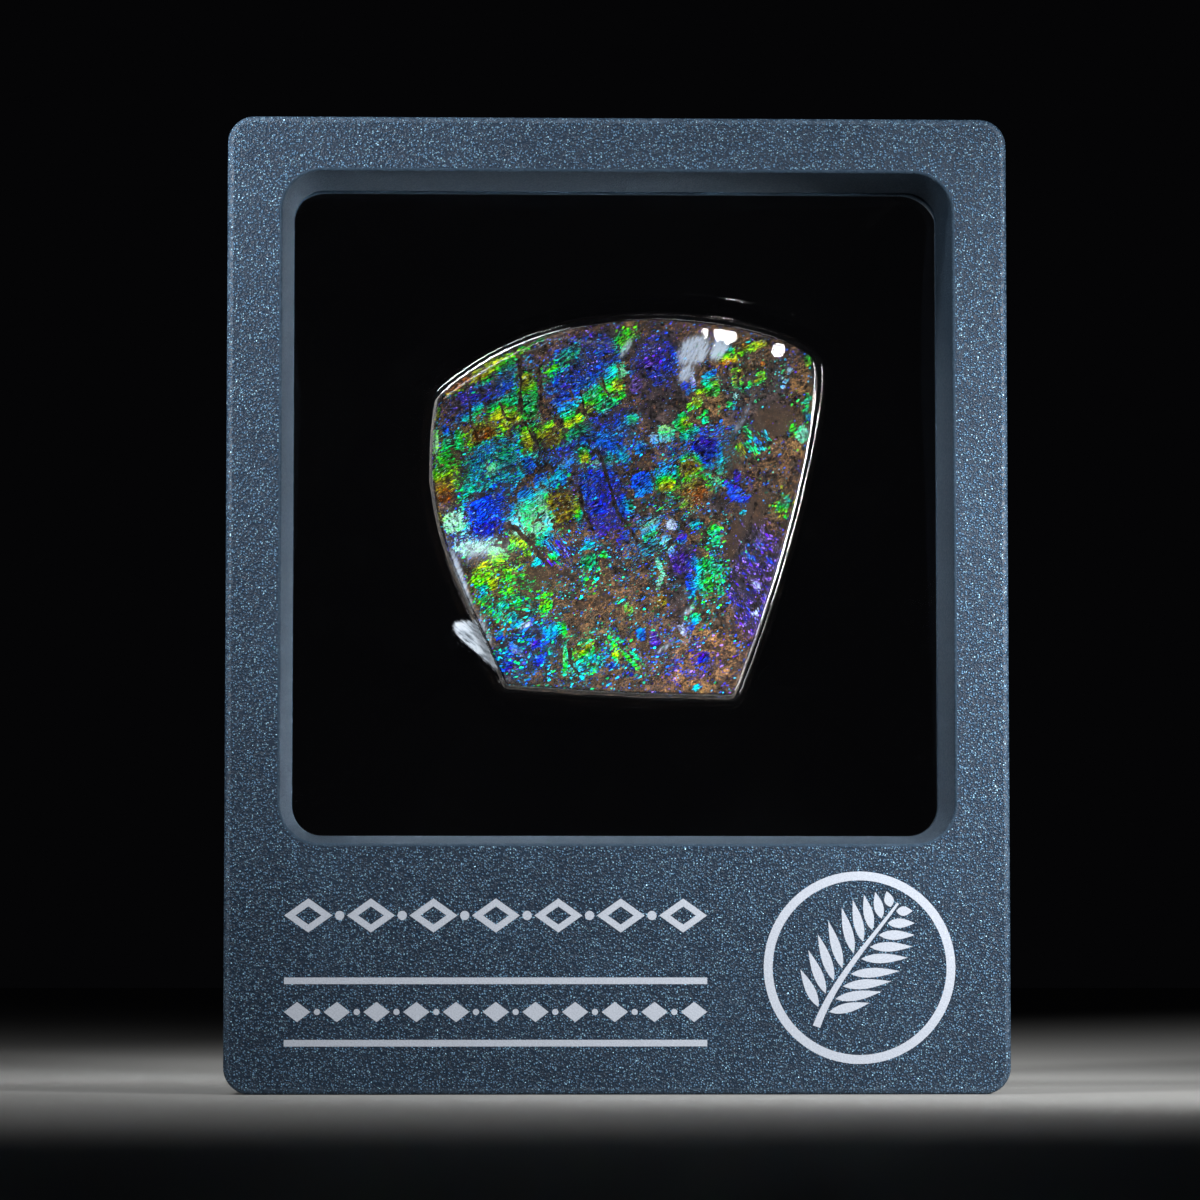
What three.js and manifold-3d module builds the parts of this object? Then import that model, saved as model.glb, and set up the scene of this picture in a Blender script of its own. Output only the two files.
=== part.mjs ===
// A polished piece of ammolite that floats between two clear stretched films in a small upright frame.
// Millimetres, +Z up. The frame's front faces -Y, and the origin is the middle of its foot.
import * as THREE from "three";
import { mergeVertices } from "three/addons/utils/BufferGeometryUtils.js";
import Module from "manifold-3d";

// Frame, in two halves that meet half way through
const FRAME_WIDTH = 101.6;
const FRAME_HEIGHT = 127;
const FRAME_DEPTH = 20;
const CORNER_RADIUS = 3.5;
const EDGE_RADIUS = 0.8; // where the sides turn into the front and the back face
const GAP = 0.3; // between any two pieces that touch

// Window, cut right through, its walls closing in towards the films
const RAIL = 7.2; // face of the frame at the top and at the sides
const LABEL_BAND = 32.3; // face of the frame below the window
const WINDOW_CORNER = 4; // radius at the films
const WALL_DRAFT = 1.2; // how far each wall closes in
const WINDOW_EDGE = 0.4; // chamfer where a wall meets the face

// Films, each clamped by its edge in a shallow seat between the halves
const FILM_THICKNESS = 0.2;
const FILM_LEVEL = 0.35; // middle of a clamped edge, from the parting plane
const SEAT_DEPTH = 0.75;
const SEAT_WIDTH = 2.6;
const SEAT_CORNER = 1;
const CLAMPED_WIDTH = 2;
const FLAT_STRIP = 1.3; // film just inside the window that still lies level, which clears the round corners

// Ammolite: the outline of its polished face, four curves between four corners, in X and Z
const TOP_LEFT = [-23.4, 91.1];
const TOP_RIGHT = [25.9, 96.4];
const BOTTOM_RIGHT = [15.4, 51.9];
const BOTTOM_LEFT = [-14.4, 53.2];
const LEFT_CURVE = [-26.2, 75, -20.7, 67.8];
const BOTTOM_CURVE = [-1.8, 52.3, 1, 52.1];
const RIGHT_CURVE = [23.1, 70.9, 28, 94.3];
const TOP_CURVE = [25.3, 99, -4.5, 108.7];
const STONE_CENTRE = new THREE.Vector2(1, 76);
const STONE_THICKNESS = 6.8;
const STONE_DOME = 0.9; // how far the polished face falls from its middle to its edge
const POLISHED_EDGE = 0.6; // rounding along the edge of the polished face
const STONE_FLARE = 0.4; // how far the rough sides stand out past the polished face
const BACK_EDGE = 1.3; // height of the worn edge between the sides and the back
const ROUGHNESS = 0.22; // height of the waves on the sides and the back

const STEPS_PER_CURVE = 17;
const AROUND = 4 * STEPS_PER_CURVE;
const CORNER_STEPS = 8;
const CUT_OVERRUN = 5; // how far a cut runs out past the face that it starts from

const wasm = await Module();
wasm.setup();

// ---- Solids --------------------------------------------------------------------------------------------

// A closed geometry as a manifold solid.
function toSolid(geometry) {
  geometry.deleteAttribute("normal");
  geometry.deleteAttribute("uv");
  const merged = mergeVertices(geometry, 1e-4);
  return new wasm.Manifold(
    new wasm.Mesh({
      numProp: 3,
      vertProperties: new Float32Array(merged.attributes.position.array),
      triVerts: new Uint32Array(merged.index.array),
    }),
  );
}

// A manifold solid as a geometry.
function toGeometry(solid) {
  const { vertProperties, triVerts } = solid.getMesh();
  const geometry = new THREE.BufferGeometry();
  geometry.setAttribute("position", new THREE.BufferAttribute(vertProperties, 3));
  geometry.setIndex(new THREE.BufferAttribute(triVerts, 1));
  geometry.computeVertexNormals();
  return geometry;
}

// A rectangle with rounded corners, in X and Z, from its left, right, bottom and top sides.
function roundedRectangle(left, right, bottom, top, radius) {
  const shape = new THREE.Shape();
  const quarter = Math.PI / 2;
  shape.absarc(right - radius, top - radius, radius, 0, quarter);
  shape.absarc(left + radius, top - radius, radius, quarter, 2 * quarter);
  shape.absarc(left + radius, bottom + radius, radius, 2 * quarter, 3 * quarter);
  shape.absarc(right - radius, bottom + radius, radius, 3 * quarter, 4 * quarter);
  return shape;
}

// A prism of a shape in X and Z, from y towards -Y by depth. With a bevel its middle is wider than the shape
// by size and offset, and beyond each end it narrows again by size, over a length of thickness.
function prism(shape, y, depth, bevel = { size: 0, thickness: 0, steps: 1 }) {
  const geometry = new THREE.ExtrudeGeometry(shape, {
    depth,
    curveSegments: CORNER_STEPS,
    bevelEnabled: bevel.size > 0,
    bevelSize: bevel.size,
    bevelThickness: bevel.thickness,
    bevelSegments: bevel.steps,
    bevelOffset: bevel.offset ?? 0,
  });
  geometry.rotateX(Math.PI / 2);
  geometry.translate(0, y, 0);
  return toSolid(geometry);
}

// ---- Frame ---------------------------------------------------------------------------------------------

const halfWidth = FRAME_WIDTH / 2;
const halfDepth = FRAME_DEPTH / 2;
const windowSides = {
  left: RAIL - halfWidth,
  right: halfWidth - RAIL,
  bottom: LABEL_BAND,
  top: FRAME_HEIGHT - RAIL,
};

// The window's rectangle, moved in by inset on every side.
function windowShape(inset, radius) {
  const { left, right, bottom, top } = windowSides;
  return roundedRectangle(left + inset, right - inset, bottom + inset, top - inset, radius);
}

// The front half. It ends just short of the parting plane, and its window is a tapered cut with a chamfered
// rim in front and the films' seat behind.
function frameHalf() {
  const outline = roundedRectangle(-halfWidth, halfWidth, 0, FRAME_HEIGHT, CORNER_RADIUS);
  const rounding = { size: EDGE_RADIUS, thickness: EDGE_RADIUS, steps: 3, offset: -EDGE_RADIUS };
  const block = prism(outline, halfDepth - EDGE_RADIUS, FRAME_DEPTH - 2 * EDGE_RADIUS, rounding);

  const taper = { size: WALL_DRAFT, thickness: halfDepth - SEAT_DEPTH, steps: 1 };
  const walls = prism(windowShape(WALL_DRAFT, WINDOW_CORNER), -halfDepth, CUT_OVERRUN, taper);
  const chamfer = { size: WINDOW_EDGE, thickness: WINDOW_EDGE, steps: 1 };
  const rim = prism(windowShape(0, WINDOW_CORNER + WALL_DRAFT), -halfDepth, CUT_OVERRUN, chamfer);
  const seatShape = windowShape(WALL_DRAFT - SEAT_WIDTH, SEAT_CORNER);
  const seat = prism(seatShape, CUT_OVERRUN, CUT_OVERRUN + SEAT_DEPTH);

  const otherHalf = new THREE.BoxGeometry(2 * FRAME_WIDTH, FRAME_DEPTH, 2 * FRAME_HEIGHT);
  otherHalf.translate(0, halfDepth - GAP / 2, FRAME_HEIGHT / 2);
  return block.subtract(walls).subtract(rim).subtract(seat).subtract(toSolid(otherHalf));
}

// ---- Ammolite and films --------------------------------------------------------------------------------

// The edge of the polished face, as points at even steps along each curve, anticlockwise seen from -Y.
function faceOutline() {
  const shape = new THREE.Shape();
  shape.moveTo(...TOP_LEFT);
  shape.bezierCurveTo(...LEFT_CURVE, ...BOTTOM_LEFT);
  shape.bezierCurveTo(...BOTTOM_CURVE, ...BOTTOM_RIGHT);
  shape.bezierCurveTo(...RIGHT_CURVE, ...TOP_RIGHT);
  shape.bezierCurveTo(...TOP_CURVE, ...TOP_LEFT);
  return shape.getPoints(STEPS_PER_CURVE).slice(0, AROUND);
}

const outline = faceOutline();

// A closed skin made of rings around the stone's centre. The rings run from the pole in front to the pole
// behind, and place(ring, spoke) gives the point of one ring on one spoke.
function ringedSkin(ringCount, place) {
  const geometry = new THREE.SphereGeometry(1, AROUND, ringCount - 1);
  const position = geometry.attributes.position;
  for (let ring = 0; ring < ringCount; ring++) {
    for (let step = 0; step <= AROUND; step++) {
      const point = place(ring, step % AROUND);
      position.setXYZ(ring * (AROUND + 1) + step, point.x, point.y, point.z);
    }
  }
  return toGeometry(toSolid(geometry));
}

// The point on a spoke at a share of the way from the centre to the outline, then moved out by grow.
function spokePoint(spoke, share, grow, y) {
  const arm = outline[spoke].clone().sub(STONE_CENTRE);
  const flat = arm.clone().multiplyScalar(share).add(arm.clone().setLength(grow)).add(STONE_CENTRE);
  return new THREE.Vector3(flat.x, y, flat.y);
}

// Waviness of the broken sides and back: three waves round the stone that shift from ring to ring.
function waviness(spoke, ring) {
  const turn = (spoke / AROUND) * 2 * Math.PI;
  const wide = Math.sin(7 * turn + 1.3 * ring);
  const middling = Math.sin(11 * turn - 2.1 * ring);
  const narrow = Math.sin(19 * turn + ring);
  return (ROUGHNESS * (wide + middling + narrow)) / 3;
}

const stoneFront = -STONE_THICKNESS / 2;
const stoneBack = STONE_THICKNESS / 2;

// How far forward the polished face stands at a share of the way out.
function domeLevel(share) {
  return stoneFront + STONE_DOME * share ** 2;
}

// The rings of the stone, from the middle of its face to the middle of its back. Each has its share of the
// way out, how far it stands past the outline, its level, and how much of the roughness it takes.
function stoneRings() {
  const faceEdge = domeLevel(1);
  const back = stoneBack - ROUGHNESS;
  const onFace = [0, 0.3, 0.55, 0.75, 0.9];
  const onBack = [0.75, 0.4];
  const polished = onFace.map((share) => ({ share, grow: 0, y: domeLevel(share), rough: 0 }));
  const broken = onBack.map((share) => ({ share, grow: 0, y: back, rough: 1 }));
  return [
    ...polished,
    { share: 1, grow: -POLISHED_EDGE, y: faceEdge, rough: 0 },
    { share: 1, grow: -0.25 * POLISHED_EDGE, y: faceEdge + 0.3 * POLISHED_EDGE, rough: 0 },
    { share: 1, grow: 0, y: faceEdge + POLISHED_EDGE, rough: 0 },
    { share: 1, grow: 0.5 * STONE_FLARE, y: 0, rough: 1 },
    { share: 1, grow: STONE_FLARE, y: stoneBack - BACK_EDGE, rough: 1 },
    { share: 1, grow: 0.2 * STONE_FLARE, y: back, rough: 1 },
    ...broken,
    { share: 0, grow: 0, y: back, rough: 0 },
  ];
}

function ammoliteGeometry() {
  const rings = stoneRings();
  return ringedSkin(rings.length, (ring, spoke) => {
    const { share, grow, y, rough } = rings[ring];
    const wave = rough * waviness(spoke, ring);
    const side = share === 1 ? wave : 0;
    const level = share === 1 ? 0 : wave;
    return spokePoint(spoke, share, grow + side, y + level);
  });
}

// Where a spoke crosses the window's rectangle at the films, widened by extra on every side.
function windowPoint(spoke, extra) {
  const arm = outline[spoke].clone().sub(STONE_CENTRE);
  const reachX = (arm.x > 0 ? windowSides.right : -windowSides.left) - WALL_DRAFT + extra;
  const reachZ = arm.y > 0 ? windowSides.top - WALL_DRAFT + extra : windowSides.bottom + WALL_DRAFT - extra;
  const toSide = (Math.sign(arm.x) * reachX - STONE_CENTRE.x) / arm.x;
  const toEnd = (reachZ - STONE_CENTRE.y) / arm.y;
  return arm.multiplyScalar(Math.min(toSide, toEnd)).add(STONE_CENTRE);
}

// How much of the tent's height is left at a share of the way from the stone to the window: a stretched
// film sinks away fast at first and then ever more slowly.
function tentHeight(share, spread) {
  return 1 - Math.log(1 + (spread - 1) * share) / Math.log(spread);
}

// One film as a closed sheet. level(share) is where it lies over the stone, and side is -1 in front of the
// stone and 1 behind it.
function filmGeometry(side, level) {
  const overStone = [0, 0.5, 0.85, 1];
  const tent = [0.1, 0.25, 0.5, 1];
  const rows = overStone.length + tent.length + 1;
  const clamped = side * FILM_LEVEL;
  return ringedSkin(2 * rows, (ring, spoke) => {
    const row = ring < rows ? ring : 2 * rows - 1 - ring; // out along the front, then back along the rear
    const skin = (ring < rows ? -FILM_THICKNESS : FILM_THICKNESS) / 2;
    if (row < overStone.length) {
      return spokePoint(spoke, overStone[row], 0, level(overStone[row]) + skin);
    }
    if (row === rows - 1) {
      const edge = windowPoint(spoke, CLAMPED_WIDTH);
      return new THREE.Vector3(edge.x, clamped + skin, edge.y);
    }
    const share = tent[row - overStone.length];
    const start = outline[spoke];
    const end = windowPoint(spoke, -FLAT_STRIP);
    const spread = end.distanceTo(STONE_CENTRE) / start.distanceTo(STONE_CENTRE);
    const flat = start.clone().lerp(end, share);
    const y = clamped + (level(1) - clamped) * tentHeight(share, spread);
    return new THREE.Vector3(flat.x, y + skin, flat.y);
  });
}

// ---- Assembly ------------------------------------------------------------------------------------------

const slatePlastic = new THREE.MeshStandardMaterial({ color: 0x434b5a, roughness: 0.5, metalness: 0.2 });
const clearFilm = new THREE.MeshStandardMaterial({
  color: 0xf4f7fa,
  roughness: 0.08,
  metalness: 0,
  transparent: true,
  opacity: 0.15,
});
const ammoliteStone = new THREE.MeshStandardMaterial({ color: 0x46603f, roughness: 0.2, metalness: 0.1 });

function piece(name, geometry, material) {
  const mesh = new THREE.Mesh(geometry, material);
  mesh.name = name;
  return mesh;
}

const half = toGeometry(frameHalf());
const frontFrame = piece("front_frame", half, slatePlastic);
const backFrame = piece("back_frame", half, slatePlastic);
backFrame.rotation.z = Math.PI; // the back half is the front half turned to face the other way

const filmClearance = GAP + FILM_THICKNESS / 2;
const frontSheet = filmGeometry(-1, (share) => domeLevel(share) - filmClearance);
const backSheet = filmGeometry(1, () => stoneBack + filmClearance);
const frontFilm = piece("front_film", frontSheet, clearFilm);
const backFilm = piece("back_film", backSheet, clearFilm);
const ammolite = piece("ammolite", ammoliteGeometry(), ammoliteStone);

const framedAmmolite = new THREE.Group();
framedAmmolite.add(frontFrame, backFrame, frontFilm, backFilm, ammolite);

export default framedAmmolite;
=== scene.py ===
"""Looks of a framed ammolite specimen: two moulded frame halves, two clear films and the polished stone."""

import logging
import math
from dataclasses import dataclass, replace
from enum import Enum

import bpy
import numpy as np
from mathutils import Euler, Matrix, Vector, geometry


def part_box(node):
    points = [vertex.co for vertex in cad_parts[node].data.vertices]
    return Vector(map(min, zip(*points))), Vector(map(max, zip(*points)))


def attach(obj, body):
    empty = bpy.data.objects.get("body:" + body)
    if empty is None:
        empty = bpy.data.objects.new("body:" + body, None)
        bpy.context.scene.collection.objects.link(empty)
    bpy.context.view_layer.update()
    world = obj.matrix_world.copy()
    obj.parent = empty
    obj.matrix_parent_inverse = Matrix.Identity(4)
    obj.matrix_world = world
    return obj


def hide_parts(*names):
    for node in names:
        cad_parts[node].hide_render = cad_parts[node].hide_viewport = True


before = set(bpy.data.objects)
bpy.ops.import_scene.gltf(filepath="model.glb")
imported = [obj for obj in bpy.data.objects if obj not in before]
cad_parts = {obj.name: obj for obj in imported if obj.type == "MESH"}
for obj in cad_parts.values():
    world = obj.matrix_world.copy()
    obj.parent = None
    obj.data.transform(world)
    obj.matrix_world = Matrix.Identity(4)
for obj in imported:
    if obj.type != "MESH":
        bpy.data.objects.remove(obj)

log = logging.getLogger("framed_ammolite")
Array = np.ndarray
Material = bpy.types.Material

MM = 0.001  # all sizes below are in millimetres, unless a name or a note says otherwise
FRONT = -1.0  # the side that faces -Y
BACK = 1.0


# ---- Shapes ----


class Waves:
    """Smooth random waves in space, the same on every run."""

    def __init__(self, seed: int) -> None:
        """Draws the table of heights that the waves pass through."""
        self.table = np.random.default_rng(seed).random(4096)

    def single(self, points: Array) -> Array:
        """One layer of waves, one unit long.

        Args:
            points: Places, one row each, with two or three coordinates.

        Returns:
            A height from 0 to 1 for each place.
        """
        cell = np.floor(points).astype(np.int64)
        part = points - cell
        part = part * part * (3 - 2 * part)
        primes = np.array([73856093, 19349663, 83492791])[: points.shape[1]]
        total = np.zeros(len(points))
        for corner in np.ndindex(*(2,) * points.shape[1]):
            step = np.array(corner)
            weight = np.prod(np.where(step == 1, part, 1 - part), axis=1)
            keys = np.bitwise_xor.reduce((cell + step) * primes, axis=1)
            total += weight * self.table[keys & 4095]
        return total

    def layered(self, points: Array, length: float, layers: int = 4) -> Array:
        """Layers of ever finer and lower waves.

        Args:
            points: Places in millimetres, one row each.
            length: Length of the longest waves in millimetres.
            layers: Number of layers, each half as long and half as high as the one before.

        Returns:
            A height from about -1 to 1 for each place.
        """
        total = np.zeros(len(points))
        for layer in range(layers):
            total += (2 * self.single(points * 2**layer / length + 17.3 * layer) - 1) / 2**layer
        return total / 1.6


def ease(share: Array) -> Array:
    """A smooth step from 0 to 1 as the share goes from 0 to 1."""
    share = np.clip(share, 0, 1)
    return share * share * (3 - 2 * share)


def rounded_rectangle(left: float, right: float, bottom: float, top: float, radius: float) -> Array:
    """The outline of a rectangle with round corners.

    Args:
        left: Lowest x.
        right: Highest x.
        bottom: Lowest z.
        top: Highest z.
        radius: Radius of the corners.

    Returns:
        Points in x and z, anticlockwise seen from the front, with the same count for every rectangle.
    """
    steps = 20
    quarter = np.linspace(0, math.pi / 2, steps + 1)
    corners = [
        (right - radius, top - radius, 0),
        (left + radius, top - radius, 1),
        (left + radius, bottom + radius, 2),
        (right - radius, bottom + radius, 3),
    ]
    arcs = []
    for x, z, turn in corners:
        angle = quarter + turn * math.pi / 2
        arcs.append(np.stack([x + radius * np.cos(angle), z + radius * np.sin(angle)], axis=1))
    return np.concatenate(arcs)


def at_depth(loop: Array, y: float | Array) -> Array:
    """Points in x and z, set at one depth y or at one for each."""
    depth = np.broadcast_to(y, len(loop))
    return np.stack([loop[:, 0], depth, loop[:, 1]], axis=1)


def bezier(start: tuple, controls: tuple, end: tuple, steps: int) -> Array:
    """A cubic curve as points at even distances.

    Args:
        start: First point in x and z.
        controls: The two control points as four numbers.
        end: Last point in x and z.
        steps: Number of steps along the curve.

    Returns:
        One point more than there are steps.
    """
    t = np.linspace(0, 1, 2001)[:, None]
    first, second = np.array(controls[:2]), np.array(controls[2:])
    fine = (
        (1 - t) ** 3 * np.array(start)
        + 3 * (1 - t) ** 2 * t * first
        + 3 * (1 - t) * t**2 * second
        + t**3 * np.array(end)
    )
    run = np.concatenate([[0], np.cumsum(np.linalg.norm(np.diff(fine, axis=0), axis=1))])
    wanted = np.linspace(0, run[-1], steps + 1)
    return np.stack([np.interp(wanted, run, fine[:, 0]), np.interp(wanted, run, fine[:, 1])], axis=1)


def patch_inside(loop: Array) -> Array:
    """Fills a loop of four sides with a smooth grid.

    Args:
        loop: Points in x and z, anticlockwise from the top left corner, the same count on each side.

    Returns:
        A grid of points: rows go up from the bottom, columns go right.
    """
    steps = len(loop) // 4
    closed = np.concatenate([loop, loop[:1]])
    left = closed[: steps + 1][::-1]
    bottom = closed[steps : 2 * steps + 1]
    right = closed[2 * steps : 3 * steps + 1]
    top = closed[3 * steps :][::-1]
    u = np.linspace(0, 1, steps + 1)[None, :, None]
    v = np.linspace(0, 1, steps + 1)[:, None, None]
    across = (1 - v) * bottom[None] + v * top[None]
    along = (1 - u) * left[:, None] + u * right[:, None]
    flat = (
        (1 - u) * (1 - v) * bottom[0]
        + u * (1 - v) * bottom[-1]
        + (1 - u) * v * top[0]
        + u * v * top[-1]
    )
    return across + along - flat


class Skin:
    """A closed mesh in the making, in millimetres, with values on its points and faces."""

    def __init__(self) -> None:
        """Starts with no points and no faces."""
        self.blocks: list[Array] = []
        self.count = 0
        self.faces: list[list[int]] = []
        self.finishes: list[int] = []
        self.flat: list[bool] = []
        self.face_marks: dict[str, list[float]] = {}
        self.point_values: dict[str, list[tuple[Array, Array]]] = {}

    def add_points(self, points: Array) -> Array:
        """Adds points.

        Args:
            points: The points, one row each.

        Returns:
            Their numbers.
        """
        self.blocks.append(np.asarray(points, float))
        start = self.count
        self.count += len(points)
        return np.arange(start, self.count)

    def add_faces(self, corners: Array, finish: int = 0, flat: bool = False, **marks: float) -> None:
        """Adds faces.

        Args:
            corners: Numbers of the corner points, one row for each face.
            finish: Which of the piece's materials the faces wear.
            flat: Whether the faces are shaded flat.
            **marks: Values that the faces carry, by name.
        """
        rows = np.asarray(corners).tolist()
        for name in marks:
            self.face_marks.setdefault(name, [0.0] * len(self.faces))
        self.faces += rows
        self.finishes += [finish] * len(rows)
        self.flat += [flat] * len(rows)
        for name, values in self.face_marks.items():
            values += [marks.get(name, 0.0)] * len(rows)

    def add_band(self, inner: Array, outer: Array, **options: float) -> None:
        """Adds the faces between two loops.

        Args:
            inner: Point numbers of the loop nearer the front's middle, anticlockwise from the front.
            outer: Point numbers of the next loop, as many, or half as many.
            **options: Passed on to add_faces.
        """
        if len(inner) == len(outer):
            after = np.roll(inner, -1)
            self.add_faces(np.stack([inner, outer, np.roll(outer, -1), after], axis=1), **options)
            return
        even, odd, after = inner[0::2], inner[1::2], np.roll(inner[0::2], -1)
        beyond = np.roll(outer, -1)
        self.add_faces(np.stack([even, outer, odd], axis=1), **options)
        self.add_faces(np.stack([odd, outer, beyond], axis=1), **options)
        self.add_faces(np.stack([odd, beyond, after], axis=1), **options)

    def add_grid(self, numbers: Array, side: float, **options: float) -> None:
        """Adds the faces of a grid of points.

        Args:
            numbers: Point numbers, rows going up and columns going right, seen from the front.
            side: FRONT if the faces look forward, BACK if they look backward.
            **options: Passed on to add_faces.
        """
        low, high = numbers[:-1], numbers[1:]
        corners = np.stack([low[:, :-1], low[:, 1:], high[:, 1:], high[:, :-1]], axis=-1).reshape(-1, 4)
        self.add_faces(corners if side == FRONT else corners[:, ::-1], **options)

    def add_patch(self, grid: Array, painted: tuple[Array, dict],
                  rim: Array | None = None) -> tuple[Array, Array]:
        """Adds the points of a grid that fills a loop.

        Args:
            grid: Points in x and z from patch_inside.
            painted: The depth of each point and the values that it carries.
            rim: Point numbers of the loop, where it's there already.

        Returns:
            Point numbers of the loop, anticlockwise from the top left corner, and of the grid.
        """
        depth, values = painted
        steps = len(grid) - 1
        flat = at_depth(grid.reshape(-1, 2), depth)
        order = np.arange(len(flat)).reshape(steps + 1, steps + 1)
        edge = np.concatenate([order[::-1, 0][:-1], order[0, :-1], order[:-1, -1], order[-1, ::-1][:-1]])
        if rim is None:
            numbers = self.add_points(flat)
            self.set_values(numbers, **values)
            return numbers[edge], numbers[order]
        numbers = np.full(len(flat), -1)
        numbers[edge] = rim
        fresh = numbers < 0
        numbers[fresh] = self.add_points(flat[fresh])
        return rim, numbers[order]

    def set_values(self, numbers: Array, **values: Array) -> None:
        """Gives points values by name; points that are never given one have 0."""
        for name, value in values.items():
            self.point_values.setdefault(name, []).append((numbers, value))

    def build(self, name: str, materials: list[Material]) -> bpy.types.Object:
        """Makes the object.

        Args:
            name: Name of the piece.
            materials: Its materials, in the order that finish counts.

        Returns:
            The new object, at the origin, with its place in its mesh.
        """
        mesh = bpy.data.meshes.new(name)
        mesh.from_pydata((np.concatenate(self.blocks) * MM).tolist(), [], self.faces)
        for material in materials:
            mesh.materials.append(material)
        mesh.polygons.foreach_set("material_index", self.finishes)
        mesh.polygons.foreach_set("use_smooth", [not flat for flat in self.flat])
        for mark, values in self.face_marks.items():
            attribute = mesh.attributes.new(mark, "FLOAT", "FACE")
            attribute.data.foreach_set("value", np.array(values, np.float32))
        for value_name, parts in self.point_values.items():
            whole = np.zeros(self.count, np.float32)
            for numbers, values in parts:
                whole[numbers] = values
            attribute = mesh.attributes.new(value_name, "FLOAT", "POINT")
            attribute.data.foreach_set("value", whole)
        mesh.update()
        made = bpy.data.objects.new(name, mesh)
        bpy.context.scene.collection.objects.link(made)
        return made


# ---- Shader nodes ----

Socket = bpy.types.NodeSocket


def linear(red: int, green: int, blue: int) -> tuple[float, float, float, float]:
    """Turns a colour of the screen into one for the shaders.

    Args:
        red: Its red, from 0 to 255.
        green: Its green.
        blue: Its blue.

    Returns:
        Its linear red, green and blue from 0 to 1, and 1 for its cover.
    """
    parts = []
    for value in (red, green, blue):
        share = value / 255
        parts.append(share / 12.92 if share <= 0.04045 else ((share + 0.055) / 1.055) ** 2.4)
    return (*parts, 1.0)


class Wire:
    """What comes out of a node. Sums on it, written as plain arithmetic, place the nodes that do them."""

    def __init__(self, bench: "Bench", socket: Socket) -> None:
        """Takes the bench that the node stands on, and the node's output."""
        self.bench, self.socket = bench, socket

    def __add__(self, other: "Feed") -> "Wire":
        """The sum."""
        return self.bench.math("ADD", self, other)

    def __sub__(self, other: "Feed") -> "Wire":
        """The difference."""
        return self.bench.math("SUBTRACT", self, other)

    def __rsub__(self, other: "Feed") -> "Wire":
        """The difference from a number."""
        return self.bench.math("SUBTRACT", other, self)

    def __mul__(self, other: "Feed") -> "Wire":
        """The product."""
        return self.bench.math("MULTIPLY", self, other)

    def kept(self) -> "Wire":
        """The number, kept from 0 to 1."""
        return self.bench.math("ADD", self, 0.0, clamp=True)

    def to(self, low: float, high: float, to_low: float = 0.0, to_high: float = 1.0) -> "Wire":
        """The number moved smoothly from the first range to the second and kept inside it."""
        feeds = {"Value": self, "From Min": low, "From Max": high, "To Min": to_low, "To Max": to_high}
        return self.bench.make("ShaderNodeMapRange", feeds, interpolation_type="SMOOTHSTEP")

    def line(self, level: float, width: float, core: float) -> "Wire":
        """Thin lines where the number passes a level: full up to core from it, gone at width."""
        return self.bench.math("ABSOLUTE", self - level).to(width, core)


Feed = Wire | Socket | float | tuple
Feeds = dict[str | int, Feed]


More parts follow.
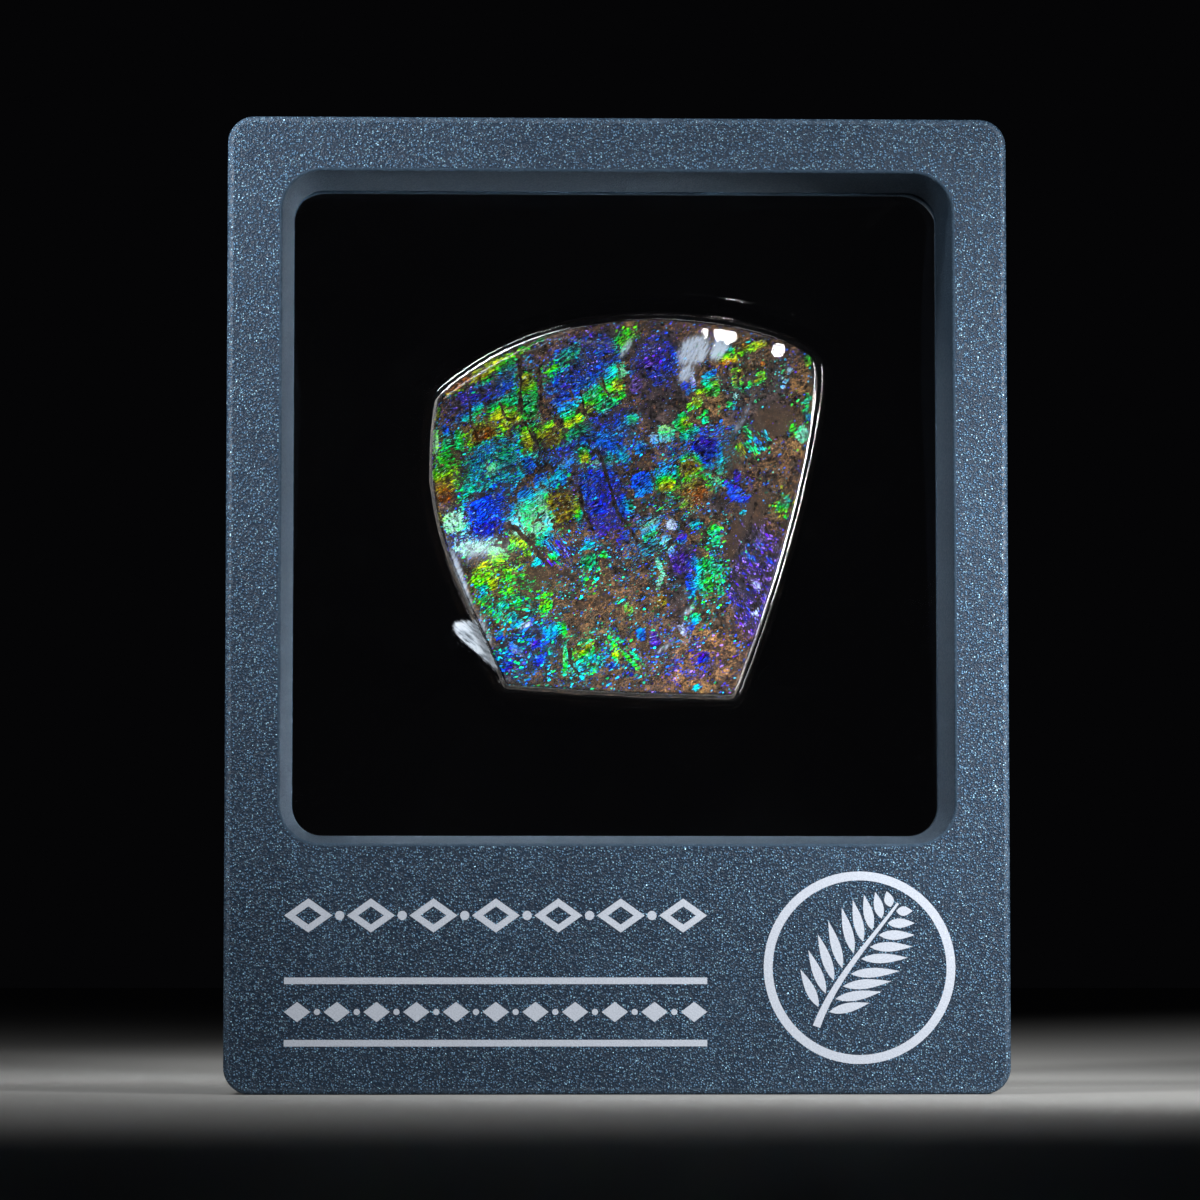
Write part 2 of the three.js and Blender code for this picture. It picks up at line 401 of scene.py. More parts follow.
class Bench:
    """Places shader nodes in one tree and wires them."""

    def __init__(self, tree: bpy.types.NodeTree) -> None:
        """Takes the tree to work in."""
        self.tree = tree

    def place(self, kind: str, feeds: Feeds | None = None, **settings: object) -> bpy.types.Node:
        """Places a node.

        Args:
            kind: Blender's name of the node type.
            feeds: What goes into its inputs, by their names or numbers: wires, numbers or colours.
            **settings: The node's own properties.

        Returns:
            The node.
        """
        node = self.tree.nodes.new(kind)
        for name, value in settings.items():
            setattr(node, name, value)
        for name, value in (feeds or {}).items():
            value = value.socket if isinstance(value, Wire) else value
            if isinstance(value, Socket):
                self.tree.links.new(value, node.inputs[name])
            else:
                node.inputs[name].default_value = value
        return node

    def make(self, kind: str, feeds: Feeds, result: str | int = 0, **settings: object) -> Wire:
        """Places a node for what comes out of one of its outputs."""
        return Wire(self, self.place(kind, feeds, **settings).outputs[result])

    def math(self, operation: str, a: Feed, b: Feed = 0.5, clamp: bool = False) -> Wire:
        """The result of a sum on two numbers, by Blender's name for it, clamped to 0 and 1 or not."""
        return self.make("ShaderNodeMath", {0: a, 1: b}, operation=operation, use_clamp=clamp)

    def most(self, first: Wire, *others: Wire) -> Wire:
        """Finds the highest of some numbers.

        Args:
            first: One of them.
            *others: The rest.

        Returns:
            The highest.
        """
        for other in others:
            first = self.math("MAXIMUM", first, other)
        return first

    def blend(self, share: Feed, a: Feed, b: Feed, kind: str = "MIX") -> Wire:
        """Two colours mixed, in the way of mixing of that name; share is how much of b shows."""
        return self.make("ShaderNodeMix", {0: share, 6: a, 7: b}, 2, data_type="RGBA", blend_type=kind)

    def ramp(self, value: Wire, stops: dict[float, tuple]) -> Wire:
        """A colour read from a row of colours.

        Args:
            value: Where to read.
            stops: The colour at each place.

        Returns:
            The colour.
        """
        result = self.make("ShaderNodeValToRGB", {0: value})
        elements = result.socket.node.color_ramp.elements
        while len(elements) < len(stops):
            elements.new(1.0)
        for element, (place, colour) in zip(elements, stops.items(), strict=True):
            element.position = place
            element.color = colour
        return result

    def noise(self, place: Wire, scale: Feed, detail: float = 2.0, roughness: float = 0.5,
              result: str = "Fac") -> Wire:
        """Soft random waves, scale of them to a unit: Fac is one value around 0.5, Color three."""
        feeds = {"Vector": place, "Scale": scale, "Detail": detail, "Roughness": roughness}
        return self.make("ShaderNodeTexNoise", feeds, result)

    def split(self, colour: Feed) -> list[Wire]:
        """The three channels of a colour."""
        node = self.place("ShaderNodeSeparateColor", {0: colour})
        return [Wire(self, channel) for channel in node.outputs]

    def fibres(self, place: Wire, tilt: float, stretch: tuple, detail: float, roughness: float) -> Wire:
        """Soft random waves along a direction; the rest as for turned and noise."""
        return self.noise(self.turned(place, tilt, stretch), 1.0, detail, roughness)

    def cells(self, place: Wire, scale: Feed) -> tuple[Wire, list[Wire]]:
        """Random cells: how far a place is from its cell's middle, and three random numbers."""
        node = self.place("ShaderNodeTexVoronoi", {"Vector": place, "Scale": scale})
        return Wire(self, node.outputs["Distance"]), self.split(node.outputs["Color"])

    def vector(self, operation: str, a: Feed, b: Feed, c: tuple | Wire = (0.0, 0.0, 0.0)) -> Wire:
        """The result of a sum on coordinates, by Blender's name for it."""
        return self.make("ShaderNodeVectorMath", {0: a, 1: b, 2: c}, operation=operation)

    def turned(self, place: Wire, degrees: float, stretch: tuple[float, float, float]) -> Wire:
        """Turns coordinates and stretches them.

        Args:
            place: The coordinates.
            degrees: The angle, from x towards z.
            stretch: Factors for the turned x, y and z.

        Returns:
            The new coordinates.
        """
        turn = {"Vector": place, "Axis": (0, 1, 0), "Angle": math.radians(degrees)}
        rotated = self.make("ShaderNodeVectorRotate", turn, rotation_type="AXIS_ANGLE")
        return self.vector("MULTIPLY", rotated, stretch)

    def bent(self, place: Wire, scale: float, amount: float, detail: float) -> Wire:
        """Coordinates bent by up to the amount, so that nothing runs quite straight."""
        wobble = self.noise(place, scale, detail, result="Color")
        return self.vector("MULTIPLY_ADD", wobble, (amount, amount, amount), place)

    def value_of(self, name: str) -> Wire:
        """A value that the mesh carries."""
        return self.make("ShaderNodeAttribute", {}, "Fac", attribute_name=name)

    def bump(self, height: Wire, distance: float) -> Wire:
        """A normal that follows a height, where a height of 1 stands for the distance in metres."""
        return self.make("ShaderNodeBump", {"Height": height, "Distance": distance, "Strength": 1.0})


class Effect:
    """A shader node group, made once and placed in each material that uses it."""

    name = ""
    inputs: dict[str, float] = {}
    outputs: dict[str, str] = {}

    @classmethod
    def tree(cls) -> bpy.types.NodeTree:
        """The group's tree, made at its first use."""
        found = bpy.data.node_groups.get(cls.name)
        if found is not None:
            return found
        tree = bpy.data.node_groups.new(cls.name, "ShaderNodeTree")
        tree.interface.new_socket("Place", in_out="INPUT", socket_type="NodeSocketVector")
        for name, default in cls.inputs.items():
            socket = tree.interface.new_socket(name, in_out="INPUT", socket_type="NodeSocketFloat")
            socket.default_value = default
        for name, kind in cls.outputs.items():
            tree.interface.new_socket(name, in_out="OUTPUT", socket_type=f"NodeSocket{kind}")
        bench = Bench(tree)
        entry = bench.place("NodeGroupInput").outputs
        results = cls.wire(bench, {name: Wire(bench, entry[name]) for name in ("Place", *cls.inputs)})
        bench.place("NodeGroupOutput", results)
        return tree

    @classmethod
    def wire(cls, bench: Bench, entry: dict[str, Wire]) -> dict[str, Wire]:
        """Wires the inside of the group.

        Args:
            bench: Where to place the nodes.
            entry: What comes into the group, by name.

        Returns:
            What comes out of it, by name.
        """
        raise NotImplementedError

    @classmethod
    def use(cls, place: Wire, **values: Feed) -> dict[str, Wire]:
        """Places the group in a material, fed by name; gives what comes out of it, by name."""
        node = place.bench.place("ShaderNodeGroup", {"Place": place, **values}, node_tree=cls.tree())
        return {name: Wire(place.bench, node.outputs[name]) for name in cls.outputs}


class Mottle(Effect):
    """Cloudy unevenness in two sizes, from 0 to 1."""

    name = "mottle"
    inputs = {"Scale": 0.5, "Contrast": 1.0}
    outputs = {"Amount": "Float"}

    @classmethod
    def wire(cls, bench: Bench, entry: dict[str, Wire]) -> dict[str, Wire]:
        """Wires a wide and a fine layer of clouds, stretched to the contrast.

        Args:
            bench: Where to place the nodes.
            entry: What comes into the group, by name.

        Returns:
            What comes out of it, by name.
        """
        wide = bench.noise(entry["Place"], entry["Scale"], 4.0, 0.6)
        fine = bench.noise(entry["Place"], 3.0, 3.0, 0.65)
        return {"Amount": ((wide * 0.6 + fine * 0.4 - 0.5) * (entry["Contrast"] * 2.2) + 0.5).kept()}


class Flecks(Effect):
    """Small separate grains scattered over a surface."""

    name = "flecks"
    inputs = {"Scale": 2.0, "Share": 0.2}
    outputs = {"Mask": "Float", "Shade": "Float"}

    @classmethod
    def wire(cls, bench: Bench, entry: dict[str, Wire]) -> dict[str, Wire]:
        """Wires random cells, of which the given share is filled with a round grain."""
        distance, (pick, shade, _) = bench.cells(entry["Place"], entry["Scale"])
        return {"Mask": bench.math("LESS_THAN", pick, entry["Share"]) * distance.to(0.5, 0.3), "Shade": shade}


class Shale(Effect):
    """Colour of the brown and grey rock, from how pale and how warm it is, and the height of its grain."""

    name = "shale"
    inputs = {"Pale": 0.4, "Warm": 0.6, "Fine": 1.0}
    outputs = {"Colour": "Color", "Height": "Float"}
    cool = {0: linear(8, 8, 10), 0.45: linear(34, 33, 42), 1: linear(112, 112, 136)}
    warm = {0: linear(8, 6, 5), 0.45: linear(48, 38, 30), 0.75: linear(112, 88, 62), 1: linear(196, 166, 128)}

    @classmethod
    def wire(cls, bench: Bench, entry: dict[str, Wire]) -> dict[str, Wire]:
        """Wires a cool and a warm row of tones, mottled, flecked and veined.

        Args:
            bench: Where to place the nodes.
            entry: What comes into the group, by name.

        Returns:
            What comes out of it, by name.
        """
        place, fine = entry["Place"], entry["Fine"]
        clouds = Mottle.use(place, Scale=0.7, Contrast=1.0)["Amount"]
        grain = bench.noise(place, 5.5, 3.0, 0.75)
        pale = (entry["Pale"] + (clouds * 0.5 + grain * 0.5 - 0.5) * (fine * 2.0)).kept()
        warmth = (entry["Warm"] + (grain - 0.5) * 0.7).kept()
        rock = bench.blend(warmth, bench.ramp(pale, cls.cool), bench.ramp(pale, cls.warm))
        tan = Flecks.use(place, Scale=3.4, Share=0.08)["Mask"]
        rock = bench.blend(tan * fine * 0.35, rock, linear(146, 106, 74))
        folds = bench.fibres(place, 35.0, (0.5, 1.0, 1.1), 4.0, 0.62)
        rock = bench.blend(folds.line(0.5, 0.022, 0.004) * fine * 0.6, rock, linear(10, 8, 8))
        pale_vein = folds.line(0.56, 0.02, 0.004) * warmth * fine.to(0.6, 1.3, 0.0, 0.7)
        return {"Colour": bench.blend(pale_vein, rock, linear(138, 110, 80)), "Height": grain + clouds}


class Finish:
    """A material in the making, with coordinates in millimetres."""

    def __init__(self, name: str) -> None:
        """Starts an empty material.

        Args:
            name: Name of the material.
        """
        self.material = bpy.data.materials.new(name)
        self.material.use_nodes = True
        self.material.node_tree.nodes.clear()
        self.bench = Bench(self.material.node_tree)
        metres = self.bench.make("ShaderNodeTexCoord", {}, "Object")
        scale = {0: metres, "Scale": 1 / MM}
        self.place = self.bench.make("ShaderNodeVectorMath", scale, operation="SCALE")

    def close(self, surface: dict[str, Feed], lamp_colour: tuple | None = None) -> Material:
        """Places the shader and the output.

        Args:
            surface: What goes into the shader, by Blender's names of its inputs.
            lamp_colour: Colour in which lamp light goes straight through, if it does.

        Returns:
            The material.
        """
        shader = self.bench.make("ShaderNodeBsdfPrincipled", surface)
        if lamp_colour:
            lamp = self.bench.make("ShaderNodeLightPath", {}, "Is Shadow Ray")
            through = self.bench.make("ShaderNodeBsdfTransparent", {"Color": lamp_colour})
            shader = self.bench.make("ShaderNodeMixShader", {0: lamp, 1: shader, 2: through})
        self.bench.place("ShaderNodeOutputMaterial", {"Surface": shader})
        return self.material


# ---- Finishes ----


@dataclass(frozen=True)
class SlatePlastic:
    """Moulded plastic in dark slate blue: grained faces, a satin window, and print on the label band."""

    # low and high: colours of the grain's hollows and tops, painted darker and lighter as shade and highlight
    low: tuple = linear(20, 39, 58)
    high: tuple = linear(108, 150, 188)
    wall: tuple = linear(40, 62, 80)
    worn: tuple = linear(108, 130, 152)
    ink: tuple = linear(192, 199, 211)
    thin_ink: tuple = linear(168, 176, 190)
    glint: tuple = linear(160, 206, 230)
    grains_per_mm: float = 3.3
    grain_height: float = 0.00015  # metres

    def make(self) -> Material:
        """Makes the material."""
        finish = Finish("slate_plastic_grained")
        bench, place = finish.bench, finish.place
        ink, satin, edge = (bench.value_of(name) for name in ("ink", "satin", "edge"))
        distance, (size, _, _) = bench.cells(bench.bent(place, 2.2, 0.3, 1.0), self.grains_per_mm)
        fine = bench.noise(place, 8.0, 2.0, 0.6)
        height = distance.to(0.66, 0.08) * (size * 0.75 + 0.35) + fine * 0.25
        clouds = Mottle.use(place, Scale=0.12, Contrast=0.8)["Amount"]
        # The grain's hollows are painted darker and its tops lighter, as painted shade and highlight of the
        # grain; the clouds vary at random.
        light = (height.to(0.32, 1.1, 0.0, 0.9) + (clouds - 0.5) * 0.14).kept()
        sparkle = Flecks.use(place, Scale=4.6, Share=0.13)
        body = bench.blend(sparkle["Mask"] * 0.7, bench.blend(light, self.low, self.high), self.glint)
        # On the window walls too the grain's hollows are painted darker: painted shade.
        wall = bench.blend(height.to(0.3, 1.1, 0.45, 0.0), self.wall, self.low)
        wear = edge * bench.noise(place, 1.3, 3.0).to(0.35, 0.7, 0.06, 0.34)
        colour = bench.blend(wear, bench.blend(satin, body, wall), self.worn)
        speckled = bench.noise(place, 5.0, 2.0, 0.7).to(0.35, 0.75)
        colour = bench.blend(ink, colour, bench.blend(speckled, self.ink, self.thin_ink))
        relief = height * (1.0 - satin * 0.65) * (1.0 - ink * 0.95)
        return finish.close({
            "Base Color": colour,
            "Metallic": sparkle["Mask"] * ((1.0 - ink) * (1.0 - satin)) * 0.7,
            "Roughness": satin * 0.42 + ink * 0.12 + sparkle["Shade"].to(0.0, 1.0, 0.34, 0.5),
            "Normal": bench.bump(relief, self.grain_height),
            "Specular IOR Level": 0.36,
        })


@dataclass(frozen=True)
class ClearFilm:
    """Thin clear elastic film, glossy, with a little dust."""

    tint: tuple = (0.975, 0.985, 0.99, 1.0)
    refraction: float = 1.25
    unevenness: float = 0.000012  # metres

    def make(self) -> Material:
        """Makes the material: clear glass that lets lamp light straight through."""
        finish = Finish("clear_stretched_film")
        bench, place = finish.bench, finish.place
        smears = bench.fibres(place, 30, (0.1, 1.0, 0.4), 3.0, 0.6)
        return finish.close({
            "Base Color": self.tint,
            "Transmission Weight": 1.0,
            "IOR": self.refraction,
            "Roughness": smears.to(0.45, 0.8, 0.012, 0.05),
            "Normal": bench.bump(bench.noise(place, 0.4, 1.0), self.unevenness),
        }, self.tint)


@dataclass(frozen=True)
class CreasedHighlightFilm:
    """Film that is creased and stretched, with its white highlight painted in, in fibres."""

    # tone and shaded: the bright and the duller fibres of the painted highlight on the creased film
    tone: tuple = linear(142, 149, 157)
    shaded: tuple = linear(112, 121, 130)
    fibre_tilt: float = -40.0

    def make(self) -> Material:
        """Makes the material."""
        finish = Finish("creased_film")
        bench = finish.bench
        fibres = bench.fibres(finish.place, self.fibre_tilt, (0.5, 1.0, 2.6), 4.0, 0.65)
        highlight_cover = (fibres - 0.5) * 2.4 + bench.value_of("crease")
        return finish.close({
            "Base Color": bench.blend(fibres.to(0.35, 0.65), self.shaded, self.tone),
            "Alpha": highlight_cover.to(0.25, 1.05),
            "Roughness": fibres.to(0.3, 0.7, 0.45, 0.25),
        })


class Hue(Enum):
    """Colours that the shell flashes in: their place on one row from red to violet, and their look."""

    RUST = 0.0, linear(118, 66, 34)
    AMBER = 0.07, linear(190, 104, 26)
    GOLD = 0.15, linear(142, 116, 14)
    LEMON = 0.24, linear(206, 216, 14)
    LIME = 0.34, linear(126, 226, 8)
    LEAF = 0.44, linear(20, 208, 34)
    JADE = 0.53, linear(10, 216, 128)
    AQUA = 0.62, linear(12, 208, 226)
    SKY = 0.72, linear(16, 122, 238)
    BLUE = 0.81, linear(20, 62, 230)
    INK = 0.89, linear(58, 48, 182)
    PLUM = 0.95, linear(108, 74, 196)
    LILAC = 1.0, linear(168, 146, 220)


@dataclass(frozen=True)
class PolishedShell:
    """The polished face: thin bright shell in blocks and shards, in brown rock, under a clear gloss, with
    painted highlights, painted glints and painted shade towards the top.
    """

    band_tilt: float = 30.0  # angle of the shell's layers on the face, in degrees
    stroke_tilt: float = -52.0  # angle of the long thin shards
    crack_tilt: float = 104.0  # angle of the fine cracks across the layers
    brush_tilt: float = 64.0  # angle of the fibres in the painted highlights
    metallic: float = 0.15
    vividness: float = 1.25
    gap_tone: tuple = linear(22, 18, 19)
    # white of the pale shell, and of the painted glints
    milk_and_glint_tone: tuple = linear(196, 224, 228)
    # colour of the painted highlights of the film and the stone's edges
    painted_highlight_tone: tuple = linear(146, 158, 172)
    shade_lean: float = 0.5  # painted shade: the colours are darkened towards the top, and this much towards the right
    shade_between: tuple[float, float] = (63.0, 76.0)  # heights in millimetres
    shade_levels: tuple[float, float] = (1.05, 0.58)
    across_levels: tuple = ((0.44, 0.010), (0.52, 0.012), (0.60, 0.010))  # where cracks run, and their widths
    along_level: tuple[float, float] = (0.5, 0.010)
    bits: tuple = (  # name, stretch, bits to a millimetre and how far their hues spread
        ("speck", (1.5, 1.0, 2.6), 2.7, 0.17),
        ("shard", (1.0, 1.0, 2.1), 1.9, 0.16),
    )

    def make(self) -> Material:
        """Makes the material."""
        finish = Finish("polished_ammolite")
        bench, place = finish.bench, finish.place
        bent = bench.bent(bench.bent(place, 0.2, 2.2, 1.0), 1.6, 0.32, 3.0)
        grain = bench.noise(place, 3.6, 4.0, 0.7)
        clumps = bench.noise(place, 0.9, 3.0, 0.6)
        dashes = bench.noise(self.either(bent, (1.3, 1.0, 6.4)), 1.0, 3.0, 0.62)
        random = bench.noise(self.either(bent, (1.8, 1.0, 4.2)), 1.0, result="Color")
        shift, shine, glass = bench.split(random)
        pale, warm, fine, haze = (bench.value_of(name) for name in ("pale", "warm", "fine", "haze"))

        colour = Shale.use(place, Pale=pale, Warm=warm, Fine=fine)["Colour"]
        colour = bench.blend(fine * dashes.to(0.46, 0.34, 0.0, 0.5), colour, self.gap_tone)
        thin = ((grain - 0.5) * 1.6 + bench.value_of("crack")).to(0.45, 0.8)
        colour = bench.blend(thin * 0.6, colour, self.gap_tone)
        clump = clumps.to(0.36, 0.62, 0.25, 1.7) * (1.0 - thin)
        masks = []
        for name, stretch, scale, spread in self.bits:
            cells = bench.cells(self.either(bent, stretch), scale)
            colour, mask = self.scatter(colour, cells, name, spread, clump)
            masks.append(mask)

        hue = ((shift - 0.5) * bench.value_of("flash_spread") * 5.5 + bench.value_of("flash_hue")).kept()
        lines = dashes.to(0.37, 0.64, 0.04, 1.05)
        bright = lines * shine.to(0.36, 0.64, 0.4, 1.15) * clumps.to(0.38, 0.60, 0.4, 1.15)
        play = self.lit(self.play(hue), bright * bench.value_of("flash_light"))
        # Painted glints: a few near-white specks in the shell.
        painted_glints = glass.to(0.60, 0.70, 0.0, 0.3)
        milk = (bench.value_of("flash_milk") * grain.to(0.35, 0.62, 0.2, 1.0) + painted_glints).kept()
        play = bench.blend(milk, play, self.milk_and_glint_tone)
        cover = bench.value_of("flash_cover") + (dashes - 0.5) * 1.7 + (grain - 0.5)
        shown = (cover + (clumps - 0.5) * 1.1 - thin * 1.1).to(0.40, 0.56)
        colour = bench.blend(shown, colour, play)
        colour = bench.blend(self.gaps(bent, grain) * shown.to(0.0, 1.0, 0.35, 0.8), colour, self.gap_tone)
        colour = bench.make("ShaderNodeHueSaturation", {"Saturation": self.vividness, "Color": colour})
        # Painted highlights where the film over the face catches the light, laid on in pale fibres.
        brush = bench.fibres(bent, self.brush_tilt, (0.8, 1.0, 3.0), 4.0, 0.68)
        painted_highlight_share = (haze * ((brush - 0.5) * 1.8 + haze).to(0.15, 0.75, 0.15, 1.2)).kept()
        colour = bench.blend(painted_highlight_share, colour, self.painted_highlight_tone)
        # Painted shade: the whole colour is darkened towards the top and the right.
        axes = bench.place("ShaderNodeSeparateXYZ", {0: place}).outputs
        painted_shade_slope = Wire(bench, axes[0]) * self.shade_lean + axes[2]
        shell = bench.most(*masks, shown)
        return finish.close({
            "Base Color": self.lit(colour, painted_shade_slope.to(*self.shade_between, *self.shade_levels)),
            "Metallic": shell * self.metallic,
            "Roughness": shell.to(0.0, 1.0, 0.6, 0.36),
            "Normal": bench.bump(lines * 0.5 + shell * 0.6, 0.00003),
            "Specular IOR Level": 0.04,
            "Coat Weight": bench.noise(bent, 1.7, 4.0, 0.7).to(0.40, 0.52, 0.3, 1.0),
            "Coat Roughness": 0.04,
            "Coat IOR": 1.4,
        })

    def either(self, bent: Wire, stretch: tuple[float, float, float]) -> Wire:
        """Coordinates along the shell's layers, or along its long shards where the mesh asks for those.

        Args:
            bent: Bent coordinates in millimetres.
            stretch: What they are multiplied by, along, in depth and across.

        Returns:
            The coordinates.
        """
        bench = bent.bench
        banded, stroked = (bench.turned(bent, tilt, stretch) for tilt in (self.band_tilt, self.stroke_tilt))
        chosen = bench.math("GREATER_THAN", bench.value_of("stroke"), 0.5)
        return bench.make("ShaderNodeMix", {0: chosen, 4: banded, 5: stroked}, 1, data_type="VECTOR")

    def gaps(self, bent: Wire, grain: Wire) -> Wire:
        """The fine net of cracks between the blocks of shell.

        Args:
            bent: Bent coordinates in millimetres.
            grain: Fine noise.

        Returns:
            A mask.
        """
        bench = bent.bench
        across = bench.fibres(bent, self.crack_tilt, (0.09, 1.0, 0.42), 3.0, 0.5)
        along = bench.fibres(bent, self.band_tilt, (0.12, 1.0, 0.36), 3.0, 0.5)
        fields = [(across, *crack) for crack in self.across_levels] + [(along, *self.along_level)]
        net = bench.most(*(field.line(level, width, 0.3 * width) for field, level, width in fields))
        return net * grain.to(0.36, 0.5, 0.25, 1.0)

    def scatter(self, under: Wire, cells: tuple, name: str, spread: float, clump: Wire) -> tuple[Wire, Wire]:
        """Lays bright bits over the rock.

        Args:
            under: Colour beneath.
            cells: The cells that the bits fill.
            name: Which of the mesh's values say how much is covered, and in what hue.
            spread: How far the hue varies from bit to bit.
            clump: What the covered share is multiplied by.

        Returns:
            The new colour and the mask of the bits.
        """
        bench = under.bench
        distance, (pick, swing, shine) = cells
        chosen = bench.math("LESS_THAN", pick, bench.value_of(f"{name}_cover") * clump)
        mask = chosen * distance.to(0.66, 0.42)
        hue = (bench.value_of(f"{name}_hue") + (swing - 0.5) * (2 * spread)).kept()
        level = bench.math("POWER", shine, 3.2) * 1.25 + 0.07
        return bench.blend(mask, under, self.lit(self.play(hue), level)), mask

    def lit(self, colour: Wire, level: Wire) -> Wire:
        """A colour made brighter or darker."""
        grey = colour.bench.make("ShaderNodeCombineColor", {0: level, 1: level, 2: level})
        return colour.bench.blend(1.0, colour, grey, "MULTIPLY")

    def play(self, hue: Wire) -> Wire:
        """The colour of a hue, read from the row of hues."""
        return hue.bench.ramp(hue, dict(kind.value for kind in Hue))


@dataclass(frozen=True)
class BrokenShale:
    """The rough sides and back: brown and grey rock in thin layers, with a little thin shell and near-black
    painted shade near the rim.
    """

    layers_per_mm: float = 2.6
    # near-black painted shade along the rim, where the sides turn away under the face
    rim_shade_tone: tuple = linear(9, 8, 8)
    shell: tuple = (linear(120, 150, 30), linear(40, 150, 110), linear(70, 80, 170))

    def make(self) -> Material:
        """Makes the material."""
        finish = Finish("broken_shale")
        bench, place = finish.bench, finish.place
        rim = bench.value_of("rim")
        beds = bench.noise(bench.vector("MULTIPLY", place, (0.12, self.layers_per_mm, 0.12)), 1.0, 3.0, 0.6)
        patches = Mottle.use(place, Scale=0.14, Contrast=1.3)["Amount"]
        # Near the rim the rock is darkened and mostly covered with near-black: painted shade.
        pale = beds.to(0.3, 0.7, 0.12, 0.42) + patches * 0.14 - rim * 0.5
        rock = Shale.use(place, Pale=pale, Warm=(patches * 0.5 + 0.45).kept(), Fine=1.3)
        glint = Flecks.use(place, Scale=1.4, Share=0.06)
        glow = bench.ramp(glint["Shade"], dict(zip((0.0, 0.5, 1.0), self.shell, strict=True)))
        stone = bench.blend(rim * 0.88, rock["Colour"], self.rim_shade_tone)
        return finish.close({
            "Base Color": bench.blend(glint["Mask"] * rim * 0.5, stone, glow),
            "Roughness": patches.to(0.0, 1.0, 0.9, 0.68),
            "Normal": bench.bump(rock["Height"] + beds, 0.00014),
            "Specular IOR Level": 0.3,
        })


@dataclass(frozen=True)
class StudioFloor:
    """A plain pale matt floor."""

    colour: tuple = linear(176, 176, 174)
    cloud: tuple = linear(168, 168, 167)

    def make(self) -> Material:
        """Makes the material."""
        finish = Finish("pale_floor")
        tone = Mottle.use(finish.place, Scale=0.01, Contrast=0.3)["Amount"]
        colour = finish.bench.blend(tone * 0.1, self.colour, self.cloud)
        return finish.close({"Base Color": colour, "Roughness": 0.8, "Specular IOR Level": 0.2})


# ---- Label ornament ----


